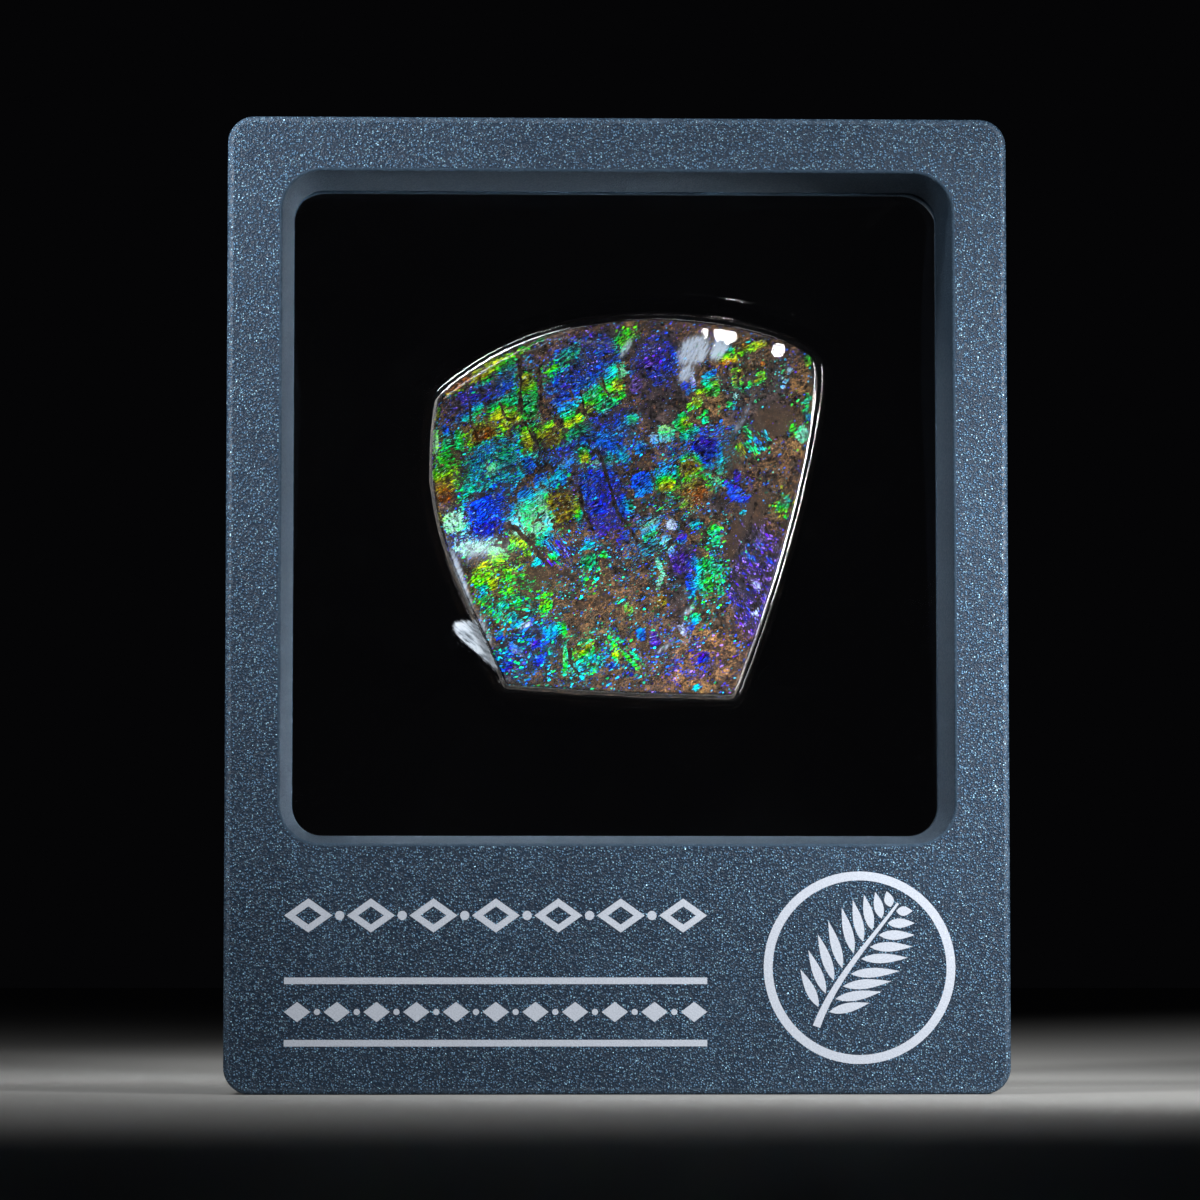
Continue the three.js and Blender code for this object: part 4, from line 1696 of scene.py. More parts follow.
UPPER_RIGHT = """
1.2 99 3 2 LEAF LIME .65 0 .7 tilt=40
6.9 95.5 2 1.2 BLUE .55
4.4 95.3 1.6 1.8 PLUM .45
5 94.2 1.4 .8 BLUE .45
2.6 92.6 2 2 LILAC .4 0 .8
14.5 97 2.4 .8 AQUA LEAF .95 tilt=12
14.8 96.1 2.5 1.1 LIME AMBER 1.05 tilt=12
17 97.4 1.9 1.2 GOLD LEAF .6
18.3 97.9 .9 1.1 LIME
19.2 98.3 1.2 .9 LEMON .85
15.5 94.6 1.3 .7 LIME
19.3 95.4 .5 .7 AMBER
15.6 93.2 .8 1.6 JADE AQUA .8 lean=100
16.5 93 .5 1.2 JADE .8 lean=100
17.6 93 .5 1 AQUA .8 lean=100
19.2 93.9 1.2 1.2 LEAF .85
18.6 93.2 1.6 .5 GOLD LEAF .7
16.1 93.4 1.4 .6 GOLD .5 0 .7
15.7 91.2 .5 .6 AQUA 1 .6
15.6 89.6 .6 .8 BLUE .8
12.3 94 2 1 SKY BLUE .7
12.6 92.2 2.2 2.2 LIME LEAF .8 square=2.4
11.6 93 1 1 JADE AQUA .7
10.1 93.2 .6 2 LILAC .9 .4 lean=95
9 92.6 1.2 1 BLUE .75
9.5 91.8 1.2 .8 BLUE SKY .75
11 91.8 1.2 .8 LIME .75
10.6 90.4 1.6 1.5 LEMON LIME .85
9.6 89.9 .9 .9 LIME LEAF .8
13.5 89.6 .5 1 JADE .8 lean=90
11.8 89.2 .8 .8 JADE .7
14.9 90.2 .8 .8 LEAF .8
8.6 87.7 2.2 2.2 JADE LEAF .95 tilt=35 lean=120
9.5 87.4 .7 1.2 GOLD LIME lean=120
6.5 86.2 2.1 2.2 LIME AQUA .9 .3
5 85.6 1 1.6 SKY .9 .4
9.7 86.2 3 1.4 JADE AQUA .65
11.2 88.6 .5 .8 LIME
11.7 88 1.2 .9 JADE .75
12 83.6 4.8 4.6 SKY AQUA .75 0 .8 square=2
11.5 84.1 3.8 3.7 INK BLUE .5 square=2
9.3 83.4 1 1 AQUA .85
9.5 82 2.4 1.6 GOLD .4 0 .8
11.3 80.4 1 1 AQUA .8
10 81 2 1.4 GOLD LEAF .45
10.3 78.4 3.6 3 GOLD RUST .5 0 .8
9 77 1.2 .8 LIME .8
13.1 80.3 .9 .8 LEAF .9 .35
15.6 78.4 1.8 1.6 BLUE .75
16.6 77.5 1.2 1 BLUE .75
15.9 80.7 1 1.6 PLUM .65
15 79.5 1 .8 BLUE .8
line .5 GOLD 16.3 84.8 16.9 83.7 light=.6
line .55 JADE 17.2 85.2 18 84
line .5 PLUM 18 86 18.8 84.9
line .5 LEAF 17 86.9 17.8 85.8
line .5 AQUA 18.7 85.2 19.3 84.3
line .5 AQUA 19.4 86.5 20 85.6
24.5 86.3 1.6 2 JADE .85 .3
23.2 87 .8 .8 LEAF .8
25.1 91 .9 1.6 LEAF AQUA .85 lean=88
24.9 89.4 1 1 LEAF .8
25.3 88.6 .6 1 SKY .8
25.2 96 1 1.2 LEAF LIME .8
22.9 94.7 .7 .5 AQUA .9 .6
22.2 93.3 .5 .6 AQUA .9 .6
22 92.5 .5 .5 SKY .9 .5
"""

# The first block below, milky green-white by the left edge, is partly shell and partly a painted highlight of
# the film.
LOWER_LEFT = """
-18.6 71.6 5.6 2 JADE LIME .9 .75 .85 tilt=10 square=2 soft=.9
-15.4 70.6 3 1.6 LEAF LIME 1 .5 .9 tilt=-12
-17 76.6 5.2 2.8 BLUE .85 0 .9
-17.2 74 3.4 2.4 BLUE INK .8 0 .85
-21.3 74.5 3 3 LEAF .8 .5 .75
-23.2 75.4 .7 .9 GOLD
-12 77.6 2.4 2.8 SKY tilt=50
-11.6 75.6 2.6 3.4 JADE LEAF 1.05 .2 lean=105
-9.6 77 1.8 4.6 AQUA LIME .95 .25 lean=100
-7.2 76.5 3 4 GOLD .45 0 .75
-9.2 74.2 1.6 2.8 AQUA 1 .45
-8.6 72.6 .9 1.6 AQUA .95
-13.3 74.5 1.2 1.6 AQUA 1 .45
-13 72.9 2 1.3 AQUA 1 .65
-10.6 73.8 2 1.4 LEAF 1 .35
-5 76 1 3 GOLD JADE .5 lean=100
-12.8 71.8 2.4 2 LEMON LIME 1 tilt=-20
-11.6 70.4 1 1 LIME
-10.4 69.3 1.6 1 AQUA .95
-13.8 71 1 1 LEAF .8
-17.4 67.2 3 3 LIME LEAF .95
-17.3 68.6 2 1.4 LEMON LIME .95
-16.2 66.3 1.4 1.6 LEMON 1
-15.5 69.5 1.8 1.2 LIME .85
-14.2 67.8 1 2 LIME LEAF .8
-17.4 65.3 1 1 SKY AQUA .85
-13.8 65.7 1 1 LIME .85
-14.9 63.6 1.4 1 JADE AQUA .8
-12.6 63.9 1 .8 LEAF .8
-9.2 63.6 1.9 1.6 LIME LEAF 1.05
-9 65 2 .5 LEAF .85
line .6 SKY -9 71.9 -7.6 70.2
line .5 PLUM -7.9 72 -6.6 70.4 light=.8
line .5 LEAF -8.6 70.2 -7.5 69.1
-3.7 71.5 1.7 .9 AQUA 1.05
-3.6 69.4 2.2 2 JADE .5 0 .8
-1.7 70.2 1 1 LEAF .85
-12 61 2 .8 LILAC .9 .3
-13 57.8 2.4 1.8 SKY LILAC .95 .2 tilt=-30
-15.3 59.6 1.2 1.2 AQUA BLUE .85
-10.5 58.4 1.4 1.2 PLUM BLUE .8
-10.2 56.4 1.4 1 BLUE .85
-14 55.6 1.2 1.2 BLUE PLUM .8
-8.2 60.3 2.4 1.8 AQUA SKY .85
line .7 LEAF -7 61.5 -6.6 59 -6.7 55
line .55 AQUA -6.3 59 -5.5 56 -4 53.4
-4 57.6 3 1.6 GOLD JADE .5 0 .8
line .6 LEAF -1.2 59.5 .3 58 3.3 55
line .35 JADE -.2 59.8 1.2 58.3 4 55.5 light=.8
0 56.9 1 1.4 LEMON LIME .95
-.6 55.7 1 .9 BLUE .8
-11.5 54 1 .6 LEAF BLUE .85
"""

LOWER_RIGHT = """
.9 76.8 1.6 3 BLUE lean=100
1.9 76.8 .7 1.6 JADE .85
1.4 73.2 1 .8 SKY .8
2.6 72.4 1 .8 SKY AQUA .8
4.5 73.8 3 2 LEAF LILAC .6 .3 .8
4.5 72.8 2.2 .5 LIME
7.2 74.2 1.4 1.4 LILAC .95 .6
6.3 72 .9 .9 AQUA .9 .5
7.2 70.8 .9 .9 AQUA .9 .5
line .6 JADE 5.3 69.8 6.1 67.8 5.5 66 light=.8 milk=.35
1.6 63 1.2 1.6 AQUA .9 .2 square=2
1.6 63 .5 .8 GOLD .35 square=2
6 64.2 1.6 1.4 GOLD .4 0 .8
3.3 59.8 1.4 1.6 SKY .85
5 59.3 1.6 2 PLUM .65 0 .85
8.4 69.3 2.6 2.8 PLUM .45 0 .8
10.6 68.7 1.4 2.4 SKY AQUA .85
11.8 68.7 1.4 2.2 LEAF JADE
13 68.3 .9 1.6 JADE .7
9.7 67.1 1.4 1.2 INK BLUE .7
9.9 66.2 1.2 2 BLUE 1
11 66.4 1.4 2.2 AQUA 1.05
12.2 66.4 1.4 2 LEAF 1
13.7 65.5 1 1 JADE .8
10.4 61.9 1.6 1.4 JADE AQUA .85
9.8 60.6 1 .9 BLUE .8
8.6 60.4 1 2 LILAC .7 .3 .8
10.5 52.9 1 .8 AQUA
11.5 56.8 1.8 1.4 PLUM BLUE .7
10.3 74.3 1.2 1 AQUA .85
12.7 73.6 1.6 1.3 LEAF JADE
13.1 72 1.2 1 JADE .8
8.7 72.4 1.4 1.2 LILAC SKY .8
17.9 69.8 1.6 1 SKY .85 tilt=-35
20.3 69.7 1.2 1 BLUE .85 tilt=-35
22 76.7 1.6 1.4 JADE LIME .85
22.5 77.6 .8 .8 AQUA
18.5 66.2 1.4 1 LILAC .95 .6 tilt=-35
18.5 62.8 .7 .7 LILAC 1 .85 square=2
16.6 75.8 .7 .7 AQUA
15.4 64.4 1.4 1 PLUM INK .8 tilt=-35
19.7 64 1.6 .9 PLUM .75 tilt=-40
"""

FLASHES = read_marks(UPPER_LEFT + MIDDLE + UPPER_RIGHT + LOWER_LEFT + LOWER_RIGHT)

CRACKS = [Crack.read(row) for row in """
.4 -12.7 96.5 -12.5 93 -12.6 89
.4 -10.2 94.7 -10 90 -9.8 88
.35 -15.5 90 -14.2 88.2
.4 -12 87.5 -10.4 85
.3 -8.3 90 -7 87
.25 -2.2 94 -.8 91.3
.8 -13.5 73.8 -10.9 71.5 -9 69 -5.5 67
.5 -5 79 -4.2 76 -3 73
.5 -2.5 84 -1 80 0 76 3 72
.4 -6.2 59 -6 56.5 -5 54.5
.4 15.5 70 17.2 73 18.5 77
.3 -4.7 91.8 -4.2 89.2
.3 -19.3 90.6 -19 87.2
""".strip().splitlines()]


class ColourPlay:
    """Works out the colours of the polished face at each point of its mesh."""

    names = """flash_hue flash_cover flash_light flash_milk flash_spread shard_cover shard_hue speck_cover
        speck_hue stroke pale warm fine crack haze wide"""

    def __init__(self, points: Array) -> None:
        """Starts with bare rock.

        Args:
            points: Points in x and z.
        """
        self.points = points
        self.values = {name: np.zeros(len(points)) for name in self.names.split()}
        self.values["shard_hue"] += Hue.JADE.value[0]
        self.values["speck_hue"] += Hue.AQUA.value[0]

    def under(self, mark: Mark) -> tuple[Array, Array, Array]:
        """Where a mark lies.

        Args:
            mark: The mark.

        Returns:
            Numbers of the points that it may touch, its share at each, and their place across it.
        """
        reach = 0.75 * math.hypot(mark.along, mark.across) + 2.5
        away = np.abs(self.points - np.array([mark.x, mark.z])).max(axis=1)
        where = np.nonzero(away < reach)[0]
        return where, *mark.mask(self.points[where])

    def mix(self, name: str, where: Array, value: float | Array, share: Array) -> None:
        """Moves the named value of some points towards another value, by a share."""
        self.values[name][where] += (value - self.values[name][where]) * share

    def lift(self, name: str, where: Array, level: Array) -> None:
        """Raises a value to a level where it is lower."""
        self.values[name][where] = np.maximum(self.values[name][where], level)

    def add_ground(self, mark: Mark) -> None:
        """Lays one kind of rock.

        Args:
            mark: Where and which.
        """
        where, share, _ = self.under(mark)
        for name, value in zip(("pale", "warm", "fine"), Ground[mark.names[0]].value, strict=True):
            self.mix(name, where, value, share * mark.strength)

    def thin_out(self, mark: Mark) -> None:
        """Takes bits of shell away where a kind of rock keeps few.

        Args:
            mark: Where, and how many it keeps.
        """
        where, share, _ = self.under(mark)
        for name in ("shard_cover", "speck_cover"):
            self.values[name][where] *= 1 + (mark.keeps - 1) * share

    def add_field(self, mark: Mark) -> None:
        """Lays a field of bits.

        Args:
            mark: Where, and what the bits are like.
        """
        where, share, _ = self.under(mark)
        kind = "speck" if mark.small else "shard"
        self.lift(f"{kind}_cover", where, mark.cover * share)
        self.mix(f"{kind}_hue", where, mark.hue(0), ease(share * 3))
        self.mix("stroke", where, mark.stroke, share)

    def add_flash(self, mark: Mark) -> None:
        """Lays one block of shell.

        Args:
            mark: Where, and what the shell is like.
        """
        where, share, across = self.under(mark)
        wide = mark.mask(self.points[where], 0.45)[0]
        before = self.values["wide"][where] * (1 - share)
        weight = wide / (wide + before + 1e-6)
        hue = mark.hue(-1) + (mark.hue(0) - mark.hue(-1)) * ease((across + 1) / 2)
        parts = {"hue": hue, "light": mark.light, "milk": mark.milk, "spread": mark.spread}
        for name, value in parts.items():
            self.mix(f"flash_{name}", where, value, weight)
        self.lift("wide", where, wide)
        self.values["flash_cover"][where] *= 1 - share
        self.lift("flash_cover", where, 0.88 * mark.cover * share)

    def paint(self) -> dict[str, Array]:
        """Lays everything and returns the values for the mesh."""
        steps = ((self.add_ground, GROUNDS), (self.add_field, FIELDS), (self.thin_out, GROUNDS),
                 (self.add_flash, SHEETS + FLASHES))
        for lay, marks in steps:
            for mark in marks:
                lay(mark)
        # The painted highlights.
        for mark in PAINTED_HIGHLIGHTS:
            where, share, _ = self.under(mark)
            self.lift("haze", where, mark.strength * share)
        for crack in CRACKS:
            middle, reach = np.mean(crack.points, axis=0), 2 + math.dist(crack.points[0], crack.points[-1])
            where = np.nonzero(np.abs(self.points - middle).max(axis=1) < reach)[0]
            self.lift("crack", where, crack.share(self.points[where]))
        return {name: value for name, value in self.values.items() if name != "wide"}


@dataclass
class Ammolite:
    """The stone: a polished face with a rounded edge, and rough sides and back."""

    form: StoneForm
    node: str = "ammolite"
    steps: int = 236
    edge_rings: int = 7
    side_rings: int = 13
    edge_level: float = -1.7
    crack_depth: float = 0.03
    rock_depth: float = 0.015  # how far bare rock lies below the shell
    bed_length: float = 0.55
    bulge: tuple = ((-1.7, 0.0), (0.0, 0.18), (2.1, 0.32), (3.18, 0.0))  # of the sides, by depth
    most_bulge: float = 0.5
    side_end: float = 0.2  # how far before the back the sides end
    back_level: float = 3.2
    back_limits: tuple[float, float] = (2.9, 3.42)
    deepest_side: float = 3.4

    def build(self, face: Material, rough: Material) -> bpy.types.Object:
        """Makes the stone.

        Args:
            face: The polished material.
            rough: The broken rock's material.

        Returns:
            The finished piece.
        """
        skin = Skin()
        outline = self.form.outline.loop(self.steps)
        rim = self.add_face(skin, outline)
        self.add_sides(skin, outline, rim)
        piece = skin.build("ammolite_stone", [face, rough])
        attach(piece, "root")
        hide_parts(self.node)
        return piece

    def add_face(self, skin: Skin, outline: Array) -> Array:
        """Adds the polished face and its rounded edge.

        Args:
            skin: The mesh in the making.
            outline: The face's outline.

        Returns:
            Point numbers of the outline.
        """
        inward = -outward_normals(outline)
        width = self.form.edge_width(outline)
        start = outline + inward * width[:, None]
        grid = patch_inside(start)
        rim, numbers = skin.add_patch(grid, self.face_depth(grid.reshape(-1, 2)))
        skin.add_grid(numbers, FRONT)
        level = self.form.face_level(start)
        sloped = self.form.sloped_share(outline)
        for turn in np.linspace(0, math.pi / 2, self.edge_rings + 1)[1:]:
            share = turn / (math.pi / 2)
            loop = outline + inward * (width * (1 - sloped * share - (1 - sloped) * math.sin(turn)))[:, None]
            fall = (self.edge_level - level) * ((1 - sloped) * (1 - math.cos(turn)) + sloped * share**1.15)
            depth = level + fall
            after = skin.add_points(at_depth(loop, depth))
            values = ColourPlay(loop).paint()
            # Painted shade: the rounded edge turns dark towards its outer side where it faces down, and less
            # so where it faces left.
            shaded = share * np.clip(np.maximum(inward[:, 1], 0.6 * inward[:, 0]), 0, 1)
            values["pale"] *= 1 - 0.9 * shaded
            values["fine"] *= 1 - 0.8 * shaded
            values["crack"] = np.maximum(values["crack"], shaded)
            skin.set_values(after, **values)
            skin.add_band(rim, after)
            rim = after
        return rim

    def face_depth(self, points: Array) -> tuple[Array, dict[str, Array]]:
        """The face's depth, a little lower in the cracks and in the rock.

        Args:
            points: Points in x and z.

        Returns:
            The depth and the painted values at each point.
        """
        values = ColourPlay(points).paint()
        rock = 1 - np.clip(values["flash_cover"] + values["shard_cover"], 0, 1)
        depth = self.form.face_level(points) + self.crack_depth * values["crack"] + self.rock_depth * rock
        return depth, values

    def add_sides(self, skin: Skin, outline: Array, rim: Array) -> None:
        """Adds the broken sides and back.

        Args:
            skin: The mesh in the making.
            outline: The face's outline.
            rim: Its point numbers.
        """
        beds, lumps = Waves(11), Waves(12)
        outward = outward_normals(outline)
        half, half_out = outline[::2], outward[::2]
        depths = np.linspace(self.edge_level, self.form.thickness / 2 - self.side_end, self.side_rings + 1)
        for number, y in enumerate(depths[1:]):
            share = (number + 1) / self.side_rings
            grow = np.interp(y, *np.transpose(self.bulge))
            place = at_depth(half, y)
            ledge = beds.layered(place * np.array([0.16, 1 / self.bed_length, 0.16]), 1.0, 3)
            chip = lumps.layered(place, 2.6, 4)
            fade = min(1.0, 4 * share)
            offset = grow + fade * self.form.roughness * (0.55 * ledge + 0.6 * chip)
            loop = half + half_out * np.minimum(offset, self.most_bulge)[:, None]
            depth = y + fade * 0.10 * beds.layered(half, 1.4, 3)
            after = skin.add_points(at_depth(loop, np.minimum(depth, self.deepest_side)))
            # rim is 1 at the face's edge and fades over the first rings: there the sides get painted shade
            # and a little thin shell.
            skin.set_values(after, rim=np.full(len(after), max(0.0, 1 - 2.5 * share)))
            skin.add_band(rim, after, finish=1)
            rim = after
        grid = patch_inside(loop)
        flat = grid.reshape(-1, 2)
        flakes = np.round(3 * lumps.layered(flat, 9.0, 3)) / 3
        rise = 0.10 * flakes + 0.07 * beds.layered(flat, 1.1, 4)
        _, distance, reach = self.form.outline.polar(flat)
        inside = ease((1 - distance / reach) * 8)
        mean = float(np.mean(depth))
        level = np.clip(self.back_level + rise, *self.back_limits)
        _, numbers = skin.add_patch(grid, (mean + (level - mean) * inside, {}), rim)
        skin.add_grid(numbers, BACK, finish=1)


def outward_normals(loop: Array) -> Array:
    """Finds the ways out of a loop, smoothed round its corners.

    Args:
        loop: Points in x and z, anticlockwise.

    Returns:
        A unit vector for each point.
    """
    along = np.roll(loop, -1, axis=0) - np.roll(loop, 1, axis=0)
    normals = np.stack([along[:, 1], -along[:, 0]], axis=1)
    normals /= np.linalg.norm(normals, axis=1)[:, None]
    for _ in range(12):
        normals = (np.roll(normals, 1, axis=0) + normals + np.roll(normals, -1, axis=0)) / 3
    return normals / np.linalg.norm(normals, axis=1)[:, None]


# ---- Films ----


@dataclass
class Film:
    """One clear film, stretched over the stone and clamped in the frame."""

    name: str
    node: str
    side: float
    form: StoneForm
    start: float  # how far outside the outline the film begins to fall
    seed: int
    width: float = 1.1  # of the fall past the stone's edge
    profile: tuple = (  # slope along the fall
        (0, 0), (0.12, 0.60), (0.50, 0.72), (0.70, 1.12), (0.88, 0.66), (1, 0.1),
    )
    dimple: tuple[float, float, float] = (21.35, 97.35, 1.7)  # middle and radius of a small flat place
    dimple_slope: float = -0.068
    web: tuple = (  # corners of the creased web, where the film's highlight is painted white
        (-21.4, 61.3), (-20.4, 59.2), (-15.3, 54.8), (-13.0, 57.0), (-16.6, 61.9),
    )
    thickness: float = 0.2
    gap: float = 0.4
    clamped: float = 0.35
    hidden: float = 0.6  # how far behind the window's edge the tent ends
    overlap: float = 2.0
    steps: int = 144
    wrap_reach: float = 3.6
    wrap_rings: int = 15
    tent_rings: int = 12
    window: tuple[float, float, float, float] = (-42.4, 42.4, 33.5, 118.6)

    def build(self, finishes: list[Material]) -> bpy.types.Object:
        """Makes the film.

        Args:
            finishes: The clear material, and the one for where it's creased, with its highlight painted
                white.

        Returns:
            The finished piece.
        """
        skin = Skin()
        outline = self.form.outline.loop(self.steps)
        loops, levels = self.rings(outline)
        grid = patch_inside(outline)
        centre_level = self.inner_level(grid.reshape(-1, 2))
        rims = []
        for shift in (-self.thickness / 2, self.thickness / 2):
            rim, numbers = skin.add_patch(grid, (self.side_y(centre_level) + shift, {}))
            skin.add_grid(numbers, FRONT if shift < 0 else BACK)
            chain = [rim]
            for loop, level in zip(loops, levels, strict=True):
                chain.append(skin.add_points(at_depth(loop, self.side_y(level) + shift)))
                if self.side == FRONT:
                    skin.set_values(chain[-1], crease=self.crease(loop))
            for inner, outer in zip(chain[:-1], chain[1:], strict=True):
                skin.add_band(*((inner, outer) if shift < 0 else (outer, inner)))
            rims.append(chain[-1])
        skin.add_band(rims[0], rims[1])
        marks = np.zeros(skin.count)
        for numbers, values in skin.point_values.get("crease", []):
            marks[numbers] = values
        for number, corners in enumerate(skin.faces):
            if marks[corners].max() > 0:
                skin.finishes[number] = 1
        piece = skin.build(self.name, finishes)
        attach(piece, "root")
        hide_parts(self.node)
        return piece

    def side_y(self, level: Array) -> Array:
        """The depth y for a distance from the frame's middle plane."""
        return level * self.side

    def inner_level(self, points: Array) -> Array:
        """How far the film stands from the middle plane over the stone.

        Args:
            points: Points in x and z.

        Returns:
            A distance for each point.
        """
        if self.side == FRONT:
            level = self.gap - self.form.face_level(points)
        else:
            level = np.full(len(points), self.form.thickness / 2 + self.gap)
        _, distance, reach = self.form.outline.polar(points)
        level = level - self.fall(distance - reach) + 0.5 * self.ripple(points)
        if self.side == BACK:
            return level
        x, z, radius = self.dimple
        away = np.hypot(points[:, 0] - x, points[:, 1] - z)
        inside = ease((radius - away) / 0.5)
        middle = level[np.argmin(away)]
        return level + (middle + self.dimple_slope * (points[:, 1] - z) - level) * inside

    def fall(self, outside: Array) -> Array:
        """How far the film has come down past the stone's edge.

        Args:
            outside: Distance outside the outline.

        Returns:
            A distance for each point.
        """
        shares, slopes = np.array(self.profile).T
        steps = np.linspace(0, 1, 201)
        slope = np.interp(steps, shares, slopes)
        run = np.concatenate([[0], np.cumsum((slope[1:] + slope[:-1]) / 2)]) / 200
        return self.width * np.interp((outside - self.start) / self.width, steps, run)

    def crease(self, points: Array) -> Array:
        """Where the film is creased beside the stone and its highlight is painted white, from 0 to 1.

        Args:
            points: Points in x and z.

        Returns:
            A share for each point.
        """
        inside = np.ones(len(points))
        for start, end in zip(self.web, (*self.web[1:], self.web[0]), strict=True):
            along = np.subtract(end, start) / math.dist(start, end)
            depth = (points - np.array(start)) @ np.array([-along[1], along[0]])
            inside *= ease(depth / 1.1 + 0.5)
        _, distance, reach = self.form.outline.polar(points)
        return inside * ease((distance - reach + 0.3) / 0.4)

    def ripple(self, points: Array) -> Array:
        """Slight unevenness of the stretched film.

        Args:
            points: Points in x and z.

        Returns:
            A height for each.
        """
        waves = Waves(self.seed)
        wide = 0.012 * waves.layered(points, 3.2, 2)
        folds = waves.layered(points * np.array([0.35, 1.0]), 5.0, 1)
        return wide + 0.02 * np.maximum(0, folds - 0.25)

    def rings(self, outline: Array) -> tuple[list[Array], list[Array]]:
        """The film's loops outside the outline.

        Args:
            outline: The stone's outline.

        Returns:
            The loops and the film's distance from the middle plane along each.
        """
        outward = outward_normals(outline)
        edge_level = self.inner_level(outline) + self.fall(np.zeros(len(outline)))
        loops, levels = [], []
        for outside in np.linspace(0, self.wrap_reach, self.wrap_rings + 1)[1:]:
            loop = outline + outward * outside
            loops.append(loop)
            levels.append(edge_level - self.fall(np.full(len(loop), outside)) + 0.5 * self.ripple(loop))
        centre = np.array(self.form.outline.centre)
        arms = loops[-1] - centre
        distance = np.linalg.norm(arms, axis=1)
        heading = arms / distance[:, None]
        reach = self.window_reach(heading, self.hidden)
        spread = reach / distance
        base, foot = levels[-1], loops[-1]
        for share in np.linspace(0, 1, self.tent_rings + 1)[1:] ** 1.35:
            loop = foot + heading * ((reach - distance) * share)[:, None]
            height = 1 - np.log(1 + (spread - 1) * share) / np.log(spread)
            level = self.clamped + (base - self.clamped) * height
            loops.append(loop)
            levels.append(level + (1 - share**3) * self.ripple(loop))
        for widen in (0.5 * (self.overlap + self.hidden), self.overlap):
            loops.append(centre + heading * self.hard_reach(heading, widen)[:, None])
            levels.append(np.full(len(outline), self.clamped))
        return loops, levels

    def sides(self, heading: Array, widen: float) -> tuple[Array, Array]:
        """Measures from the stone's centre to the window's sides and ends.

        Args:
            heading: Unit vectors.
            widen: How far the window is moved out.

        Returns:
            The distances to its left or right side and to its lower or upper end, along each.
        """
        left, right, bottom, top = self.window
        x, z = self.form.outline.centre
        across = np.where(heading[:, 0] > 0, right + widen - x, x - left + widen)
        up = np.where(heading[:, 1] > 0, top + widen - z, z - bottom + widen)
        small = 1e-6
        return across / (np.abs(heading[:, 0]) + small), up / (np.abs(heading[:, 1]) + small)

    def window_reach(self, heading: Array, widen: float, blend: float = 3.0) -> Array:
        """Measures from the stone's centre to the window's edge, eased round its corners.

        Args:
            heading: Unit vectors.
            widen: How far the window is moved out.
            blend: Width of the easing.

        Returns:
            The distance along each.
        """
        side, end = self.sides(heading, widen)
        least = np.minimum(side, end)
        return least - blend * np.log1p(np.exp(-np.abs(side - end) / blend))

    def hard_reach(self, heading: Array, widen: float) -> Array:
        """Distance to the window's edge in each direction, with sharp corners."""
        return np.minimum(*self.sides(heading, widen))


# ---- Studio ----


FILM = ("front_film_sheet",)
FRAME = ("front_frame_moulding", "back_frame_moulding", "studio_floor")
REAR = ("back_frame_moulding", "ammolite_stone")
SLANT = (0.23, 0.039, 0.123)  # way that the long lights' width runs


@dataclass(frozen=True)
class Softbox:
    """A soft studio light, in metres."""

    name: str
    place: tuple
    target: tuple
    size: tuple
    power: float
    spread: float  # degrees
    only: tuple[str, ...] = ()  # names of the pieces that it lights, or all
    axis: tuple = (1.0, 0.0, 0.0)  # way that its width runs
    shape: str = "RECTANGLE"
    through: bool = True  # whether its mirror image shows through the films

    def build(self) -> None:
        """Makes the light, which the camera itself can't see."""
        data = bpy.data.lights.new(self.name, "AREA")
        data.shape = self.shape
        data.size, data.size_y = self.size
        data.energy = self.power
        data.spread = math.radians(self.spread)
        lamp = bpy.data.objects.new(self.name, data)
        back = (Vector(self.place) - Vector(self.target)).normalized()
        up = back.cross(Vector(self.axis)).normalized()
        turn = Matrix((up.cross(back), up, back)).transposed().to_4x4()
        lamp.matrix_world = Matrix.Translation(self.place) @ turn
        lamp.visible_camera = False
        lamp.visible_transmission = self.through
        bpy.context.scene.collection.objects.link(lamp)
        if self.only:
            lit = bpy.data.collections.new(f"{self.name}_pieces")
            for name in self.only:
                lit.objects.link(bpy.data.objects[name])
            lamp.light_linking.receiver_collection = lit


@dataclass(frozen=True)
class StudioCamera:
    """The camera, in metres and degrees."""

    place: tuple = (-0.0215, -0.6559, 0.0159)
    turn: tuple = (94.24, 0.0, -1.70)
    lens: float = 150.0
    sensor: float = 36.0

    def build(self) -> None:
        """Makes the camera and gives it to the scene."""
        data = bpy.data.cameras.new("studio_camera")
        data.lens, data.sensor_width = self.lens, self.sensor
        data.clip_start, data.clip_end = 0.01, 50.0
        camera = bpy.data.objects.new("studio_camera", data)
        camera.location = self.place
        camera.rotation_euler = Euler([math.radians(angle) for angle in self.turn])
        bpy.context.scene.collection.objects.link(camera)
        bpy.context.scene.camera = camera


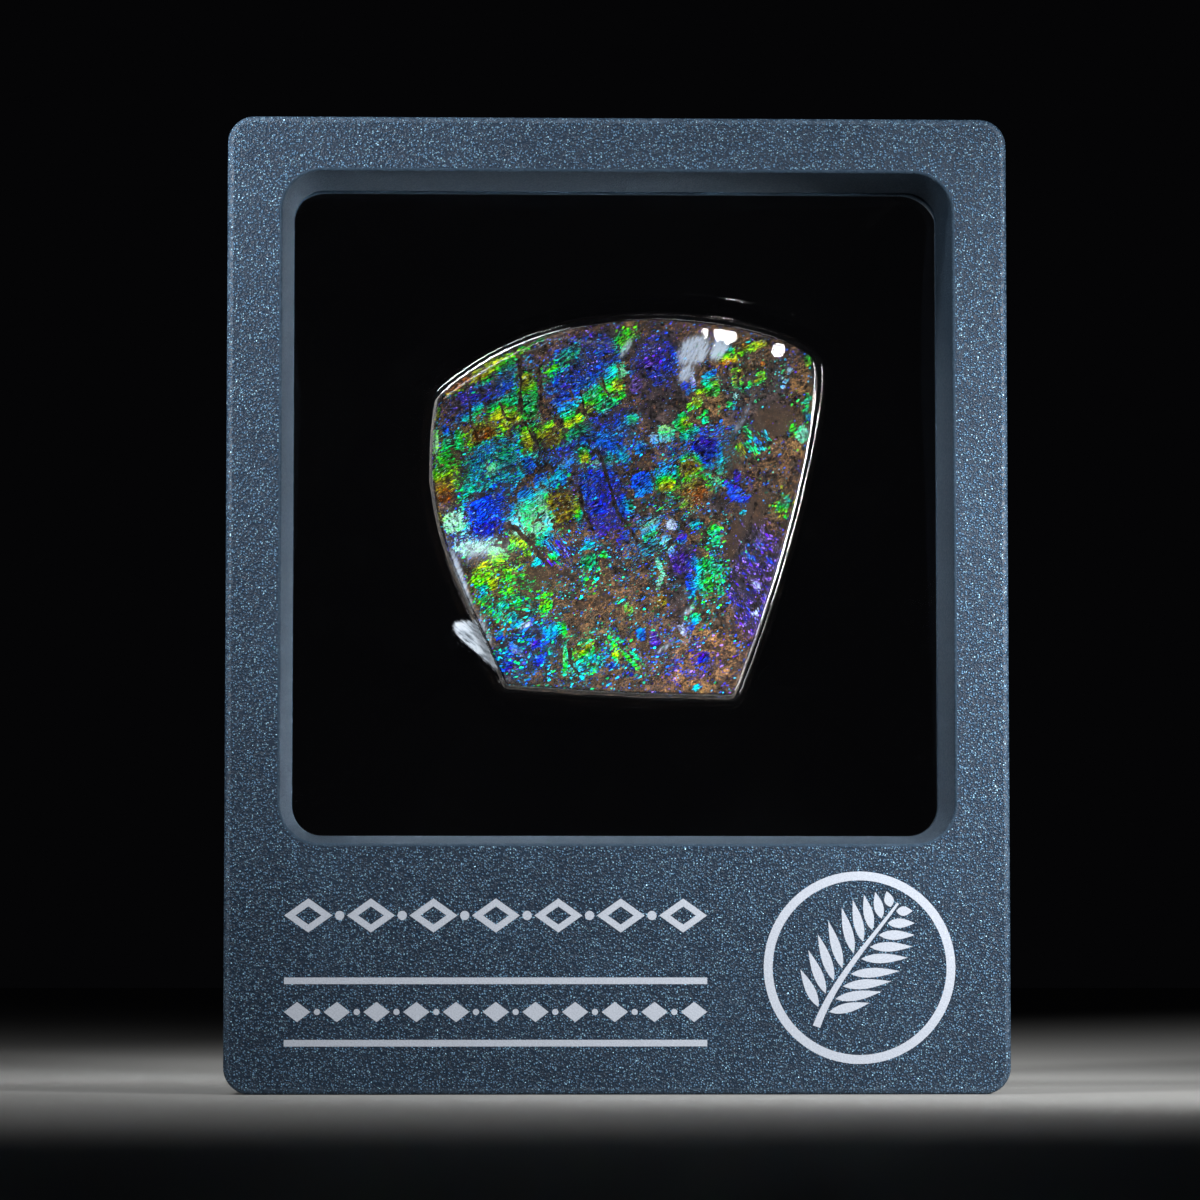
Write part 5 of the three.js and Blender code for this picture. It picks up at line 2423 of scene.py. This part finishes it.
@dataclass
class Studio:
    """The floor, the lights, the air around and the way that colours are shown."""

    floor_radius: float = 4.0
    surround: tuple = (0.0015, 0.0015, 0.0018, 1.0)
    lights: tuple = (
        Softbox("key_light", (0.18, -0.175, 0.125), (0.07, 0.0, 0.06), (0.06, 0.07), 0.14, 55),
        Softbox("edge_light", (0.31, -0.125, 0.055), (0.0, 0.0, 0.085), (0.11, 0.10), 0.75, 64, FILM),
        Softbox("strip_light", (-0.213, -0.177, 0.513), (0.0, 0.0, 0.10), (0.27, 0.13), 0.70, 44, FILM,
                SLANT),
        Softbox("upper_light", (-0.21, -0.174, 0.504), (0.0, 0.0, 0.10), (0.27, 0.06), 0.085, 44, FRAME,
                SLANT),
        Softbox("side_light", (-0.336, -0.34, 0.228), (-0.105, 0.0, 0.143), (0.10, 0.10), 0.215, 31, FRAME),
        Softbox("top_light", (0.10, -0.21, 0.56), (0.0, 0.0, 0.11), (0.22, 0.07), 0.012, 44),
        Softbox("left_card", (-0.200, -0.095, 0.003), (-0.200, -0.095, 1.0), (0.16, 0.045), 0.05, 180, FILM,
                (0.89, 0.45, 0.0)),
        Softbox("right_card", (0.225, -0.105, 0.003), (0.225, -0.105, 1.0), (0.17, 0.05), 0.60, 180, FILM,
                (0.89, -0.45, 0.0)),
        Softbox("rear_light", (-0.26, 0.46, 0.34), (0.0, 0.0, 0.06), (0.25, 0.2), 0.6, 60, REAR,
                through=False),
        Softbox("glint_light", (0.082, -0.875, 0.33), (0.012, 0.0, 0.0975), (0.013, 0.026), 0.09, 180, FILM,
                shape="ELLIPSE", through=False),
    )

    def build(self) -> None:
        """Makes everything around the object."""
        self.build_floor()
        for light in self.lights:
            light.build()
        world = bpy.data.worlds.new("dim_studio")
        world.use_nodes = True
        background = world.node_tree.nodes["Background"]
        background.inputs["Color"].default_value = self.surround
        bpy.context.scene.world = world
        view = bpy.context.scene.view_settings
        view.view_transform = "Standard"
        view.look = "None"

    def build_floor(self) -> None:
        """Makes the floor, a large disc at the frame's foot."""
        steps = 96
        angle = np.arange(steps) * 2 * math.pi / steps
        rim = [(self.floor_radius * math.cos(a), self.floor_radius * math.sin(a), -0.00002) for a in angle]
        mesh = bpy.data.meshes.new("studio_floor")
        mesh.from_pydata(rim, [], [list(range(steps))])
        mesh.materials.append(StudioFloor().make())
        floor = bpy.data.objects.new("studio_floor", mesh)
        bpy.context.scene.collection.objects.link(floor)


def main() -> None:
    """Builds the whole scene and reports each piece."""
    logging.basicConfig(level=logging.INFO, format="%(name)s: %(message)s")
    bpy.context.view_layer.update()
    slate = SlatePlastic().make()
    film = ClearFilm().make()
    # the creased film's material, with its highlight painted white
    creased = CreasedHighlightFilm().make()
    form = StoneForm()
    pieces = [
        FrameHalf("front_frame_moulding", "front_frame", FRONT, LabelOrnament()).build(slate),
        FrameHalf("back_frame_moulding", "back_frame", BACK).build(slate),
        Ammolite(form).build(PolishedShell().make(), BrokenShale().make()),
        Film("front_film_sheet", "front_film", FRONT, form, start=-0.25, seed=21).build([film, creased]),
        Film("back_film_sheet", "back_film", BACK, form, start=0.5, seed=22).build([film]),
    ]
    for piece in pieces:
        log.info("%s: %d faces", piece.name, len(piece.data.polygons))
    Studio().build()
    StudioCamera().build()


if __name__ == "__main__":
    main()
